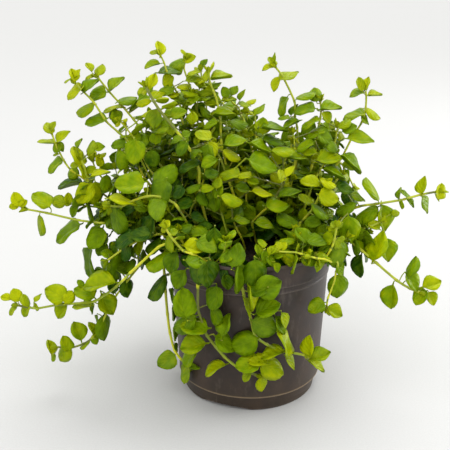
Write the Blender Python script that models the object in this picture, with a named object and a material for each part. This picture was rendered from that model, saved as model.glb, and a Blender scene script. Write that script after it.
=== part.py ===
# A creeping jenny in a round plastic pot, filled with compost.
# Metres, +Z up. The origin is the centre of the pot's underside, and -Y is the photographed front.

import math
import random

import bmesh
import bpy
from mathutils import Quaternion, Vector
from mathutils.bvhtree import BVHTree

MM = 0.001
GAP = 0.3 * MM

# Pot: a rim band over a tapered wall, a drawn-in foot band, and three feet with shallow arches between them
POT_HEIGHT = 100 * MM
RIM_RADIUS = 52.5 * MM
RIM_DROP = 18 * MM
WALL_TOP_RADIUS = 50.3 * MM
WALL_FOOT_RADIUS = 46.3 * MM
FOOT_BAND_HEIGHT = 10.4 * MM
FOOT_RADIUS = 43.2 * MM
WALL_THICKNESS = 1.3 * MM
RIM_STEP = 0.8 * MM
ARCH_HEIGHT = 2.5 * MM
ARCH_SPAN = 38.4 * MM
ARCH_INNER_RADIUS = 36 * MM
ARCH_SIDES = 64
ARCH_ANGLES = (-111, 9, 129)
ROUND_STEPS = 24

# Compost
SOIL_TOP = 92.5 * MM
SOIL_LUMP = 1.2 * MM
SOIL_FOOT = 5 * MM
SOIL_FOOT_RADIUS = 42.5 * MM
SOIL_RING_SHARES = (0.5,)

# Plant
OVER_RIM = 3 * MM
JOINT_LENGTH = 1.5 * MM
LEAF_THICKNESS = 0.7 * MM
SMALLEST_LEAF = 9.9 * MM
SMALLEST_BEND = 1.2 * MM
LOW_HEIGHT = 120 * MM
HIGH_HEIGHT = 190 * MM
LOW_LEAF_WIDTH = 0.92
HIGH_LEAF_WIDTH = 0.62
LEAF_MIDDLE = 0.5
LEAF_END_WIDTH = 0.45
LEAF_SCALES = (1, 0.85, 0.7)
LEAF_LIFTS = (0, 12, -12, 24, -24)
LEAF_ROLLS = (0, 25, -25)
NECK_CLEAR = 0.4 * MM
SKIN_CLEAR = 0.02 * MM
JOIN_DISTANCE = 0.01 * MM
BLADE_START = 0.3
SQUARE_SHARE = 0.9
LOW_COLOUR = (0.04, 0.12, 0.012)
HIGH_COLOUR = (0.22, 0.38, 0.02)

# The front shoots are read by eye from the photograph, which is 450 pixels square.
# The eye's place, tilt, turn and focal length in pixels follow from the pot's rim, rings and foot.
PHOTO_CENTRE = 225
FOCAL = 805
EYE = Vector((0, -481.4 * MM, 276.5 * MM))
TILT = math.radians(19.3)
TURN = math.radians(-1.9)
LOOK = Vector((math.sin(TURN) * math.cos(TILT), math.cos(TURN) * math.cos(TILT), -math.sin(TILT)))
RIGHT = Vector((math.cos(TURN), -math.sin(TURN), 0))
UP = RIGHT.cross(LOOK)

# How a leaf's upper side lies: toward the eye, edge-on to it, or else along its stem
FRONT = "front"
EDGE = "edge"

# Each shoot has its root on the compost (x, y in mm), its stem's width in mm, and its nodes from root to tip.
# A node is its pixel (across, down) and its depth y in mm, then its leaves.
# A leaf is its tip from the node in pixels (across, down), and its real length in mm,
# which is negative where the tip comes toward the eye, and then how its upper side lies.
SHOOTS = {
    "top_left_shoot_1": dict(root=(-16, 14), stem=1.5, nodes=[
        (150, 185, 12),
        (127, 141, 14),
        (118, 132, 15, (-12, 3, 10), (9, -3, 10)),
        (106, 121, 16, (-20, 6, 14, FRONT), (11, -9, -11, EDGE)),
        (94, 102.6, 17, (-20, 8, 14.5, FRONT), (9, -15, 12)),
        (81, 89.3, 18, (17, -11, 13, FRONT), (-12, 10.5, 11)),
        (76, 84, 18.5, (-9, -11.5, 10, FRONT), (4, -13, 10, FRONT), (-12, -2, 8, EDGE))]),
    "top_left_shoot_2": dict(root=(-9, 22), stem=1.5, nodes=[
        (160, 165, 22),
        (140, 128, 24),
        (134, 120, 24, (-8, 4, 10), (8, 7, 9)),
        (123, 106.8, 25, (12, -13.5, 12), (-20, 2.5, 13), (-13, 13, 12, EDGE)),
        (109, 91.4, 26, (12.6, -14.7, 13.5, FRONT), (-17, 9, 14, FRONT)),
        (98.4, 78, 27, (-9, -13, 10, FRONT), (3.6, -13, 11, FRONT), (-12.6, 2, 9, FRONT))]),
    "top_left_shoot_3": dict(root=(-22, 6), stem=1.1, nodes=[
        (150, 170, 4),
        (137, 143, 3),
        (127, 129, 2, (-9, 0, 7), (-3, 8, 6)),
        (121, 122, 0, (-7, -6, 6, FRONT), (5, -7, 6, FRONT), (-7, 4, 5, FRONT), (6, 3, 6, FRONT))]),
    "middle_shoot_1": dict(root=(-22, -6), stem=1.9, nodes=[
        (200, 195, -6),
        (199, 170, -4, (-14, 8, 12, FRONT), (12, 6, 12, FRONT)),
        (195, 158.5, -4, (-20, 12, 17, FRONT), (5, -4, 6)),
        (185, 142, -5, (-14, -2, 10, FRONT), (6, -10, 10, FRONT)),
        (172.4, 126, -6, (-27, 1, 19, FRONT), (17, -13, 15, FRONT)),
        (159.5, 110, -8, (14, -12, 13, EDGE), (-22, 9, 15, EDGE)),
        (154, 101.6, -9, (-19, -1, 11, FRONT), (9, -10, 11)),
        (148, 91, -10, (-10, 0, 7, FRONT), (7, -19, 12, FRONT), (-2, -10, 7)),
        (146, 87, -10, (-4, -6, 6, FRONT), (4, -6, 6, FRONT))]),
    "top_shoot_1": dict(root=(-12, 30), stem=1.4, nodes=[
        (190, 150, 28),
        (182, 120, 28),
        (180.5, 107, 29, (-15, 3, 13), (12, 3, 13)),
        (177, 93, 30, (-13, -2, 10), (8, -8, 9)),
        (171, 82, 31, (-9, 8, 9, FRONT), (8, -6, 8, FRONT)),
        (166.5, 70.7, 32, (-9, 1.5, 9, EDGE), (16, 5, 11, EDGE)),
        (164, 62.5, 32.5, (-20, 2, 13.5, FRONT), (4, 2, 4)),
        (160.9, 56, 33, (-1, -15, 11, FRONT), (-11, -2, 8, FRONT))]),
    "top_shoot_2": dict(root=(0, 36), stem=1.4, nodes=[
        (203, 150, 34),
        (196, 105, 35, (-14, 5, 12), (10, 8, 12)),
        (188, 80.5, 36, (-12, 6, 10, EDGE), (10, 5, 10)),
        (184, 68, 37, (-14, -1, 10, FRONT), (-17, -3.5, 12, EDGE), (-12, 4, 10, FRONT)),
        (186, 60, 38, (-6, -9, 8, FRONT), (8, -6, 7, FRONT), (5, 2, 8, FRONT))]),
    "top_shoot_3": dict(root=(7, 31), stem=1.2, nodes=[
        (214, 140, 30),
        (205, 100, 31, (-13, -6, 11), (10, 3, 10)),
        (202, 82, 31, (-10, -4, 9, FRONT), (9, 4, 9)),
        (201, 71.4, 32, (-13, 4, 10, EDGE), (5, -11, 8.5, FRONT), (-7, -6, 6, FRONT))]),
    "top_shoot_4": dict(root=(-3, 20), stem=1.5, nodes=[
        (226, 165, 17),
        (221, 140, 18),
        (220.5, 122, 18, (-6, 12, 14, FRONT), (-18, 11, 14, FRONT)),
        (219, 112, 19, (14, 2, 12, FRONT), (-10.6, 0, 9, FRONT)),
        (217.7, 104, 19.5, (-25, -2, 18, FRONT), (8, 6, 9)),
        (214, 92, 20, (-22, -5, 16, EDGE), (8, 9, 9)),
        (210.5, 84, 20.5, (11.5, -3, 9, EDGE), (-17, -4, 12, FRONT)),
        (209.5, 79, 21, (22, -7, 16, EDGE), (-14, -3, 11)),
        (209, 73, 21.5, (0, -13, 9, EDGE), (-4, -8, 6))]),
    "top_shoot_5": dict(root=(11, 37), stem=1.3, nodes=[
        (252, 150, 33),
        (246, 130, 33, (-14, 4, 12), (12, 2, 12)),
        (240.5, 113.7, 33, (-13, -2, 10, FRONT), (10, 8, 10)),
        (238.4, 107.4, 33.5, (-10, 4, 9, FRONT), (17, -10, 13, EDGE)),
        (233, 103, 34, (-9, -6, 11, FRONT), (14, -12, 12, FRONT)),
        (229, 97, 34.5, (-7, -10, 9, FRONT), (5, -9, 9, FRONT))]),
    "top_shoot_6": dict(root=(14, 27), stem=1.2, nodes=[
        (259, 150, 24),
        (256, 135, 24, (-16, -6, 13, FRONT), (9, 8, 10)),
        (255.5, 123, 25, (16, -4, 13, FRONT), (-9, 3, 8)),
        (254.6, 116, 25, (6, -15, 12, EDGE), (-7, -5, 7)),
        (249, 112, 26, (-8, -3, 7, FRONT), (-4, 6, 7))]),
    "top_right_shoot_1": dict(root=(24, 22), stem=1.5, nodes=[
        (297.5, 150, 20),
        (297.4, 138, 20, (-13, 3, 12), (13, 4, 12)),
        (297.2, 127.5, 20, (-15, 0.5, 11, FRONT), (12, -3, 10)),
        (295, 116, 20.5, (-17, 5.6, 12, EDGE), (7, -10.5, 9, EDGE), (8, 4, 6, FRONT)),
        (294.6, 101.8, 21, (17, -15, 16, FRONT), (-19, 13, 18, FRONT)),
        (283, 77, 22, (12, -9, 10.5, FRONT), (-9, 12, 10.5, FRONT)),
        (276.3, 68, 23, (-13.7, 0.8, 9, FRONT), (-7, -10, 8.5, FRONT), (0, -14, 9.5, EDGE))]),
    "top_right_shoot_2": dict(root=(19, 8), stem=1.2, nodes=[
        (294.6, 165, 8),
        (294.6, 148, 9, (14, -3, 12, FRONT), (-16, 2, 13, FRONT)),
        (294, 138, 9, (-8, -4, 7, FRONT), (9, 1, 8, FRONT)),
        (293, 134, 9, (-5, -6, 6, FRONT), (4, -6, 6, FRONT))]),
    "top_right_shoot_3": dict(root=(30, 27), stem=1.5, nodes=[
        (314, 160, 21),
        (316.3, 142, 22, (-11, 5, 11), (12, 5, 12)),
        (318.4, 127.7, 22.5, (-19, -2, 14, FRONT), (13, 6, 11)),
        (320.5, 117, 23, (8, 8, 9, FRONT), (-8, 5, 8)),
        (321.2, 111, 23, (-22.4, -4, 16, FRONT), (21.6, -5, 15, FRONT)),
        (320.5, 102, 23.5, (-5, -15, 11, FRONT), (3, -5, 4))]),
    "top_right_shoot_4": dict(root=(31, 13), stem=1.3, nodes=[
        (312, 165, 9),
        (320, 156, 9.5),
        (326, 152.4, 10, (-12, 6, 11, FRONT), (9, 9, 11, FRONT)),
        (334, 145.6, 10.5, (-8, -2, 7), (5, 9, 8, FRONT)),
        (337, 131, 11, (-11, 4, 9, FRONT), (14, 6, 11, FRONT)),
        (337.5, 128, 11, (8.5, -12, 10.5, FRONT), (16, -4, 12, FRONT), (-8, -6, 8, FRONT))]),
    "top_right_shoot_5": dict(root=(36, 18), stem=1.5, nodes=[
        (330, 175, 14),
        (341.8, 157.5, 15, (21, 14, 18, FRONT), (-22, 2, 16, FRONT)),
        (351.6, 138.5, 16, (22.4, 6, 17, FRONT), (-9, 3, 8)),
        (362, 121.8, 17),
        (365.6, 108, 17.5, (17.4, 6, 12.5, FRONT), (-21.6, 4.3, 15, FRONT), (4, 13, -10, FRONT)),
        (366.3, 95, 18, (-16.5, -2.4, 11.5, FRONT), (16.2, -0.6, 11.5, FRONT)),
        (365.6, 91, 18.5, (2, -14, 10, FRONT), (-5, -10, 8, FRONT))]),
    "right_shoot_1": dict(root=(40, 2), stem=1.6, nodes=[
        (345, 214, -4),
        (359, 206.5, -6, (13, 13, 13, FRONT), (1, -13, 11, FRONT)),
        (375.5, 204, -8, (-4, -28.7, 19, EDGE), (14, 26.7, 20, FRONT), (27, 10, 17, EDGE)),
        (401, 200, -9, (-2, -12.8, 9, EDGE), (-2, 9.5, 8, EDGE)),
        (404, 199.3, -9, (0, -10, 8, EDGE), (9, 7.5, 8, EDGE)),
        (421.4, 194.5, -10, (-2.8, -18.5, 12.5, FRONT), (9.6, 16.5, 13, EDGE)),
        (434.7, 192, -10, (3, -9, 7, FRONT), (5, 9, 7.5, FRONT), (12, -0.6, 8, FRONT))]),
    "right_shoot_2": dict(root=(38, -16), stem=1.7, nodes=[
        (346, 240, -20),
        (357.5, 247, -24, (31, -1, 20, FRONT), (17, -15, 15, FRONT), (4, 26, -17, FRONT),
         (-13, 17, 15, FRONT)),
        (376.5, 263, -26, (1, 5, 3)),
        (397, 280.5, -28, (-4, 28.5, -20, FRONT), (14, -25, 19, FRONT)),
        (410, 288.5, -28, (5, -14, 10, FRONT), (-4, 10, 9, FRONT)),
        (419, 292, -29, (16, -15, 14, FRONT), (13, 13, 12, FRONT), (1, 14, 11, FRONT))]),
    "right_shoot_3": dict(root=(33, -6), stem=1.5, nodes=[
        (336, 236, -12),
        (352, 232, -14, (-2, -18, 14, FRONT), (-9, 9, 12, FRONT)),
        (372, 226, -15, (14, 22, 18, FRONT), (12, -6, 10, FRONT)),
        (380, 222, -15, (6, -9, 8, FRONT), (10, 5, 9, FRONT))]),
    "left_shoot_1": dict(root=(-34, -24), stem=1.7, nodes=[
        (180, 238, -34),
        (170, 242.6, -34, (-19, 0, 13, FRONT), (8, 18, 14, FRONT)),
        (158.7, 247, -34, (-12, -14, 12, FRONT), (13, 16, 15, FRONT)),
        (130.6, 272.6, -33, (-6, -20, 14, FRONT), (-3, 26, -18, FRONT)),
        (117, 286, -32, (-18, -12, 16, FRONT), (-12, 22, 16, FRONT)),
        (95, 301, -31, (-9, -16, 12, FRONT), (3, 8, 7)),
        (75.8, 303.5, -30, (10, -19, 14, FRONT), (6, 9, -11, FRONT), (4, -26, 17, FRONT)),
        (56.8, 305, -29, (-5, -21, 15, FRONT), (9, 14, -12, FRONT), (14, -15, 12, FRONT)),
        (37, 308.4, -28, (2.5, -15.4, 10, EDGE), (-3.3, 4, 5, EDGE)),
        (30, 307.5, -28, (0, -13, 9, FRONT), (-5, 9, 8.5, FRONT)),
        (19, 305.6, -27, (-15, -9, 11, FRONT), (-3, -17, 11.5, FRONT), (-11, 10, 9.5, FRONT))]),
    "left_shoot_2": dict(root=(-41, -8), stem=1.5, nodes=[
        (168, 238, -9),
        (150, 254, -12, (-13, -4, 11), (6, 15, 11)),
        (128, 280, -14, (-12, -10, 12, FRONT), (2, 16, 12, FRONT)),
        (112, 302, -16, (-15, -8, 12, FRONT), (3, 14, 10, FRONT)),
        (101, 324.6, -17, (-10, -14, 11, FRONT), (7, 24, -17, FRONT)),
        (90.5, 339.3, -18, (2, -17, 11, FRONT), (6, 9, 8, FRONT)),
        (84, 343.5, -18, (-7, -20, 14, FRONT), (3, 2, 4)),
        (70.9, 347.7, -19, (-14, 16, 14, FRONT), (-9, -14, 12, FRONT)),
        (58, 347, -20, (-13, -8, 11, FRONT), (-9, 9, 9, FRONT))]),
    "left_shoot_3": dict(root=(-40, 1), stem=1.5, nodes=[
        (160, 228, -5),
        (125, 225, -8, (-13, 12, 13, FRONT), (6, -12, 11)),
        (102, 223, -9, (-6, 25, 17, FRONT), (4, -12, 10)),
        (77.5, 220, -10, (-2, -14, 10, FRONT), (-15, 19, 16, FRONT)),
        (47, 213, -11, (-6, -24, 17, FRONT), (-10, 15, 11)),
        (28, 209.5, -12, (-12, -7, 10, FRONT), (-11, -14, 12, FRONT), (-3, -13, 9, FRONT),
         (-15, 4, 10, FRONT))]),
    "left_shoot_4": dict(root=(-37, 10), stem=1.1, nodes=[
        (150, 214, 4),
        (120, 211, 2, (-8, 12, 10, FRONT), (5, -10, 9)),
        (92, 206.5, 2, (-12, 9, 11, FRONT), (3, -9, 8)),
        (71.6, 204, 1, (-4, -11, 8, FRONT), (-15, -5, 10.5, FRONT), (3, 9, 8))]),
    "left_shoot_5": dict(root=(-33, 17), stem=1.4, nodes=[
        (120, 205, 10),
        (98, 190, 10, (-9, -10, 10), (5, 8, 8)),
        (83, 178, 10, (-24, 9, 17, FRONT), (8, -7, 9)),
        (71, 170, 10, (9, -6, 9, FRONT), (-6, 3, 6)),
        (64.6, 161.8, 10.5, (-16, 10, 13, FRONT), (9, -6, 8, FRONT)),
        (58, 149, 11, (7, -4, 7, FRONT), (-2, 7, 6, FRONT)),
        (55.4, 142.8, 11, (-17.5, -1, 12, EDGE), (14, -11, 12.5, FRONT)),
        (52, 134, 12, (-8, -12, 9.5, FRONT), (4, -9, 8, FRONT))]),
    "left_shoot_6": dict(root=(-30, 3), stem=1.7, nodes=[
        (118, 212, 0),
        (98, 199, 1, (-6, 8, 10), (9, 7, 10)),
        (90, 186.5, 1, (-16, 15, 18, FRONT), (15, 14, 17, FRONT)),
        (87, 178, 1.5, (-14, -10, 12, FRONT), (17, -8, 17, EDGE)),
        (84, 166.7, 2, (-10, -4, 9, FRONT), (10, -10, 11, FRONT)),
        (81.5, 160, 2.5, (-4, -13, 10, FRONT), (0, -21, 14, EDGE), (7, -6, 8, FRONT))]),
    "left_shoot_7": dict(root=(-26, 11), stem=1.2, nodes=[
        (118, 195, 8),
        (104, 180, 8, (-8, -6, 8), (8, 4, 9)),
        (96, 170, 8, (9, -14, 11, EDGE), (-6, -3, 6)),
        (93, 162, 8, (-4, -14, 10, FRONT), (11, -12, 11, FRONT), (6, -7, 7, FRONT))]),
    "left_shoot_8": dict(root=(-26, -16), stem=1.6, nodes=[
        (176, 205, -23),
        (160, 197, -24, (0, -23, 18, FRONT), (-2, 21, -16, FRONT)),
        (147, 196.3, -25, (-27, -10, 20, FRONT), (13, 5, 12, FRONT)),
        (133.7, 200.5, -26, (-12, -9, 10, FRONT), (-3, 14, 10)),
        (122, 206, -27, (-8, 27, -19, FRONT), (-10, -14, 12, FRONT)),
        (110.5, 206, -28, (-8, -4, 7, FRONT), (-5, 7, 6))]),
    "front_left_shoot_1": dict(root=(-19, -38), stem=1.5, nodes=[
        (208, 262, -47),
        (191, 253.5, -52, (21, 0, 16, FRONT), (20, -13, 15, FRONT)),
        (183, 250.4, -48, (13, -7, 12, FRONT), (-10, 12, 11, FRONT)),
        (174, 240.5, -49, (-15, 6, 12, FRONT), (9, -5, 8)),
        (169.8, 235, -50, (7, -5, 6, FRONT), (-5, -1, 5)),
        (166, 229, -50, (-5, -4, 6, FRONT), (2, -9, 6, FRONT), (-6, 4, 5, FRONT))]),
    "middle_shoot_2": dict(root=(-4, -3), stem=1.3, nodes=[
        (244.9, 248, -6),
        (241.4, 237.7, -10, (9, -8, 10), (-12, 2, 11)),
        (235.8, 227, -11, (-10, 2, 9), (10, 4, 10)),
        (232.5, 217, -12, (17, 1, 11, FRONT), (-10, -6, 9, FRONT)),
        (231.6, 204, -12, (-12, -8, 9, FRONT), (13, -7, 10, FRONT), (1, 3, -7, FRONT),
         (-1, -9, 7, FRONT))]),
    "middle_shoot_3": dict(root=(5, 6), stem=1.5, nodes=[
        (252, 223, -2),
        (257, 217, -3, (-14, -10, 12, FRONT), (15, 8, 13, FRONT)),
        (267.5, 207, -5, (-15, 3, 12, FRONT), (14, 4, 12, FRONT)),
        (273.5, 199, -6, (-20, -9, 15, EDGE), (15, 6, 13, FRONT)),
        (278.5, 192, -7, (24, 2, 16, FRONT), (-11, 9, 10, FRONT)),
        (283.7, 183.3, -8, (-13, -12, 12, FRONT), (10, 5, 9, FRONT)),
        (285, 176, -8, (13, -8, 11, FRONT), (-7, -7, 8, FRONT), (3, 8, 6, FRONT))]),
    "middle_shoot_4": dict(root=(18, -12), stem=1.5, nodes=[
        (291, 233, -14),
        (300.5, 222.6, -15, (-15, -12, 14, FRONT), (16, 12, 14, FRONT)),
        (309.6, 212.8, -16, (24, 1, 16, FRONT), (-12, 5, 11, FRONT)),
        (313.5, 206.5, -16, (-15, -11, 12, EDGE), (14, 9, 12, FRONT)),
        (319, 197, -17, (-17, -14, 14, FRONT), (22, -2, 15, FRONT)),
        (325.8, 184.7, -18, (-5, -9, 7, FRONT), (6, -9, 7, FRONT), (11, 0, 7.5, FRONT))]),
    "front_right_shoot_1": dict(root=(33, -27), stem=1.4, nodes=[
        (322, 260, -40),
        (331, 249, -42, (-12, -3, 8, FRONT), (9, 9, 10, FRONT)),
        (334, 241, -42, (-12, -4, 9, FRONT), (10, 4, 10, FRONT)),
        (336.5, 228, -41, (-7, 2, 6, FRONT), (4, -7, 7, EDGE), (-4, -6, 6, FRONT))]),
    "front_right_shoot_2": dict(root=(20, -36), stem=1.2, nodes=[
        (320, 259.5, -49),
        (306, 255.5, -50, (-2, 10, 6, FRONT), (4, -7, 6)),
        (296, 252.5, -50, (2, -9, 6, EDGE), (2, 9, 6), (1, 22, 13, EDGE)),
        (286, 252, -50, (3, 17, 11, FRONT), (-1, -11, 7, FRONT)),
        (279, 251.5, -50, (-2, -11, 8, FRONT), (-7, 3, 6, FRONT), (-1, 13, 9, FRONT))]),
    "front_right_shoot_3": dict(root=(28, -35), stem=1.1, nodes=[
        (331, 262, -47),
        (324, 259, -51),
        (318, 258.5, -52, (0, 13, 8, FRONT), (7, 5, 8, FRONT), (4, -8, 6)),
        (311, 257, -52, (-6, 8, 7), (-5, -7, 7), (-8, 0, 6))]),
    "trailing_left_shoot": dict(root=(-43, -14), stem=1.5, nodes=[
        (165, 243, -16),
        (163.5, 262, -17, (10, 10, 11, FRONT), (-5, 12, 9, EDGE)),
        (164.5, 275, -17, (-17, 20, 17, FRONT), (9, 8, 10, FRONT)),
        (165.5, 291, -18, (7, 8, 8, EDGE), (10, -8, 10)),
        (167.5, 314, -19, (4, 9, 6, EDGE), (5, -5, 5)),
        (170, 333, -20, (6, -6, 6), (2, 9, 6)),
        (175, 351, -24, (-17, 16, 15, FRONT), (8, -2, 7)),
        (184, 362.6, -27, (24, -3, 16, FRONT), (-2, 5, 4)),
        (188, 366, -28.5, (0, 12, 9, FRONT), (6, 2, 5))]),
    "trailing_front_shoot_1": dict(root=(-24, -29), stem=1.8, nodes=[
        (190, 250, -46),
        (195, 268, -51, (-17, 8, 14, FRONT), (5, 16, 12, FRONT), (18, -4, 14, FRONT)),
        (197.9, 286, -51, (-17, 8, 14, FRONT), (16, -12, 17, FRONT)),
        (198, 308, -50, (-27, -8, 19, FRONT), (18, 12, 14, FRONT)),
        (202, 322, -49, (16, -24, -18, FRONT), (4, 10, 6)),
        (207, 335.3, -48, (-27, -10, 19, FRONT), (-24, 17, 17, FRONT), (18, -20, 17, FRONT)),
        (224.7, 357, -50, (-18, 18, 15, FRONT), (14, -8, 11, FRONT)),
        (239, 368, -51.5, (-2, -13, 12, FRONT), (8, 13, 11, FRONT), (20, -14, 14, FRONT)),
        (256, 375, -51.5, (26, -2, 17, FRONT), (9, -17, 12, FRONT), (9, 12, 10, FRONT))]),
    "trailing_front_shoot_2": dict(root=(-8, -42), stem=1.8, nodes=[
        (240, 274, -57),
        (243, 290, -57, (-16, -17, 17, FRONT), (14, -20, 17, FRONT)),
        (246, 304, -56, (-16, 3, 14, FRONT), (24, -15, 19, FRONT)),
        (251, 319, -55, (-4, -26, 17, EDGE), (13, -14, 14, FRONT)),
        (255.2, 335.5, -54, (25, -23, 20, FRONT), (-22, 15, 19, FRONT)),
        (267, 344.6, -53, (8, 3, 7)),
        (280, 350, -52, (7, -26, 17, EDGE), (-13, 8, 11, FRONT), (14, 19, 15, EDGE)),
        (304, 356, -50, (7, -21, 15, FRONT), (24, -3, 16, FRONT), (22, 13, 16, FRONT))]),
    "trailing_front_shoot_3": dict(root=(10, -41), stem=1.6, nodes=[
        (262, 276, -54),
        (264, 290, -55, (-17, -9, 15, FRONT), (17, -12, 15, FRONT)),
        (266, 305, -54, (-14, 8, 12, FRONT), (14, 3, 13, FRONT)),
        (268, 317, -53, (-9, 11, 10, FRONT), (14, 9, 13, FRONT))]),
    "trailing_right_shoot": dict(root=(36, -26), stem=1.3, nodes=[
        (337, 262, -38),
        (336, 272, -40, (12, -14, 14, FRONT), (4, 5, 5)),
        (333.5, 284, -40, (16, 10, 15, FRONT), (-4, 4, 4)),
        (328, 298, -40, (18, -12, 15, FRONT), (-3, 3, 4)),
        (326.6, 307, -40, (-18, 2, 12.5, FRONT), (17, 4, 12, FRONT), (3, 11, 7, FRONT))]),
    "middle_shoot_5": dict(root=(-15, 3), stem=1.3, nodes=[
        (190.7, 215, -2),
        (195.5, 200.5, -2, (-10, -2, 8), (9, 0, 8)),
        (200, 189, -1, (-14, -6, 12, FRONT), (14, 8, 14, FRONT)),
        (205, 175, 0, (-14, -2, 13, FRONT), (13, 2, 12, FRONT)),
        (203.5, 163, 1, (-9, -10, 10, FRONT), (10, -10, 11, FRONT), (6, 6, 8, FRONT))]),
    "middle_shoot_6": dict(root=(2, 12), stem=1.4, nodes=[
        (232, 190, 8),
        (225.8, 173, 8, (-14, 6, 12, FRONT), (14, 3, 12, FRONT)),
        (220.5, 159, 8, (21, -9, 16, FRONT), (-13, 6, 12, FRONT)),
        (214, 147, 8, (-12, 12, 13, FRONT), (9, -3, 9, FRONT)),
        (209.6, 139.5, 8, (-14, -3, 11, FRONT), (2, -14, 10, EDGE), (8, 3, 8, FRONT))]),
    "middle_shoot_7": dict(root=(-10, -14), stem=1.2, nodes=[
        (222, 215, -14),
        (217, 203, -15, (-13, -4, 13, FRONT), (12, 3, 12, FRONT)),
        (216, 192, -15, (-9, -4, 8, FRONT), (9, 4, 9, FRONT)),
        (217, 184, -15, (-6, -4, 6, FRONT), (6, -4, 6, FRONT), (1, -8, 6, FRONT))]),
    "middle_shoot_8": dict(root=(8, 18), stem=1.2, nodes=[
        (247, 205, 10),
        (246, 192, 10, (-13, 2, 12, FRONT), (12, 4, 12, FRONT)),
        (245, 181, 10, (-12, -5, 11, FRONT), (12, -1, 10, FRONT)),
        (245, 174, 10, (-5, -4, 7, FRONT), (7, 4, 8, FRONT))]),
    "middle_shoot_9": dict(root=(17, 14), stem=1.4, nodes=[
        (280, 185, 10),
        (284, 163, 12, (-16, -3, 17, FRONT), (10, 5, 12, FRONT)),
        (289, 153, 12, (-14, -8, 13, FRONT), (14, 2, 13, FRONT)),
        (292, 144, 13, (-10, -6, 10, FRONT), (11, -3, 10, FRONT), (2, -10, 8))]),
    "right_shoot_4": dict(root=(34, 12), stem=1.3, nodes=[
        (325, 200, 4),
        (333, 185, 4, (-9, -8, 10, FRONT), (12, 3, 12, FRONT)),
        (340, 176, 4, (-8, -9, 10), (12, -4, 12, FRONT), (6, 8, 9, FRONT))]),
    "right_shoot_5": dict(root=(27, 4), stem=1.4, nodes=[
        (310, 192, 2),
        (318, 174, 2, (-14, -2, 13, FRONT), (14, 4, 13, FRONT)),
        (324, 164, 2, (-12, -8, 12, FRONT), (14, -5, 13, FRONT), (2, -11, 9))]),
    "inner_left_shoot_1": dict(root=(-24, 10), stem=1.4, nodes=[
        (165, 205, 8),
        (150, 178, 8, (-14, 2, 13, FRONT), (12, -8, 13, FRONT)),
        (141, 160, 7, (-17, 4, 14, FRONT), (13, -6, 13, FRONT)),
        (132, 148, 6, (-15, -4, 13, FRONT), (11, -12, 13, FRONT))]),
    "inner_left_shoot_2": dict(root=(-38, -12), stem=1.4, nodes=[
        (160, 234, -22),
        (140, 240, -24, (-12, 10, 14, FRONT), (4, -14, 13, FRONT)),
        (122, 250, -25, (-12, -8, 13, FRONT), (6, 16, 14, FRONT)),
        (108, 260, -26, (-8, 12, 12, FRONT), (-2, -13, 12, FRONT))]),
}

# The shoots at the back, which the photograph hides, follow a rule of their own.
# Each leaves its root at a compass angle (degrees from +X), and reaches out, up and down again (mm).
BACK_SHOOTS = {
    "back_shoot_1": dict(angle=44, root=45, reach=54, rise=50, end=22),
    "back_shoot_2": dict(angle=58, root=36, reach=78, rise=66, end=36),
    "back_shoot_3": dict(angle=74, root=40, reach=84, rise=52, end=14),
    "back_shoot_4": dict(angle=96, root=41, reach=76, rise=74, end=48),
    "back_shoot_5": dict(angle=118, root=38, reach=84, rise=54, end=18),
    "back_shoot_6": dict(angle=140, root=36, reach=74, rise=68, end=40),
    "back_shoot_7": dict(angle=150, root=43, reach=52, rise=62, end=40),
    "back_shoot_8": dict(angle=88, root=45, reach=26, rise=76, end=58),
    "back_shoot_9": dict(angle=108, root=31, reach=38, rise=98, end=76),
    "back_shoot_10": dict(angle=62, root=42, reach=44, rise=26, end=-40),
    "back_shoot_11": dict(angle=128, root=43, reach=46, rise=26, end=-44),
}
BACK_STEM = 1.4
BACK_NODES = 4
BACK_LEAF_AT_ROOT = 16 * MM
BACK_LEAF_AT_TIP = 11 * MM
BACK_LEAF_SPREAD = 70


def clear_scene():
    for old in list(bpy.data.objects):
        bpy.data.objects.remove(old, do_unlink=True)


def plain_material(name, colour, roughness):
    material = bpy.data.materials.new(name)
    material.use_nodes = True
    shader = material.node_tree.nodes["Principled BSDF"]
    shader.inputs["Base Color"].default_value = (*colour, 1)
    shader.inputs["Roughness"].default_value = roughness
    shader.inputs["Metallic"].default_value = 0
    return material


def add_object(name, body, colour, roughness):
    mesh = bpy.data.meshes.new(name)
    body.to_mesh(mesh)
    mesh.materials.append(plain_material(name, colour, roughness))
    thing = bpy.data.objects.new(name, mesh)
    bpy.context.scene.collection.objects.link(thing)
    return thing


def turned_body(outline):
    # A closed round body, from an outline of (radius, height) that starts and ends on the axis
    body = bmesh.new()
    points = [body.verts.new((radius, 0, height)) for radius, height in outline]
    lines = [body.edges.new(pair) for pair in zip(points, points[1:])]
    bmesh.ops.spin(body, geom=points + lines, cent=(0, 0, 0), axis=(0, 0, 1), angle=math.tau,
                   steps=ROUND_STEPS, use_merge=True)
    bmesh.ops.remove_doubles(body, verts=body.verts, dist=0.01 * MM)
    bmesh.ops.recalc_face_normals(body, faces=body.faces)
    return body


def pot_outline():
    rim_foot = POT_HEIGHT - RIM_DROP
    outer = [(FOOT_RADIUS, 0), (WALL_FOOT_RADIUS, FOOT_BAND_HEIGHT), (WALL_TOP_RADIUS, rim_foot - RIM_STEP),
             (WALL_TOP_RADIUS + RIM_STEP, rim_foot), (RIM_RADIUS, POT_HEIGHT)]
    inner = [(RIM_RADIUS - WALL_THICKNESS, POT_HEIGHT), (WALL_TOP_RADIUS - WALL_THICKNESS, rim_foot),
             (WALL_FOOT_RADIUS - WALL_THICKNESS, FOOT_BAND_HEIGHT),
             (FOOT_RADIUS - WALL_THICKNESS, WALL_THICKNESS)]
    return [(0, 0)] + outer + inner + [(0, WALL_THICKNESS)]


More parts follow.
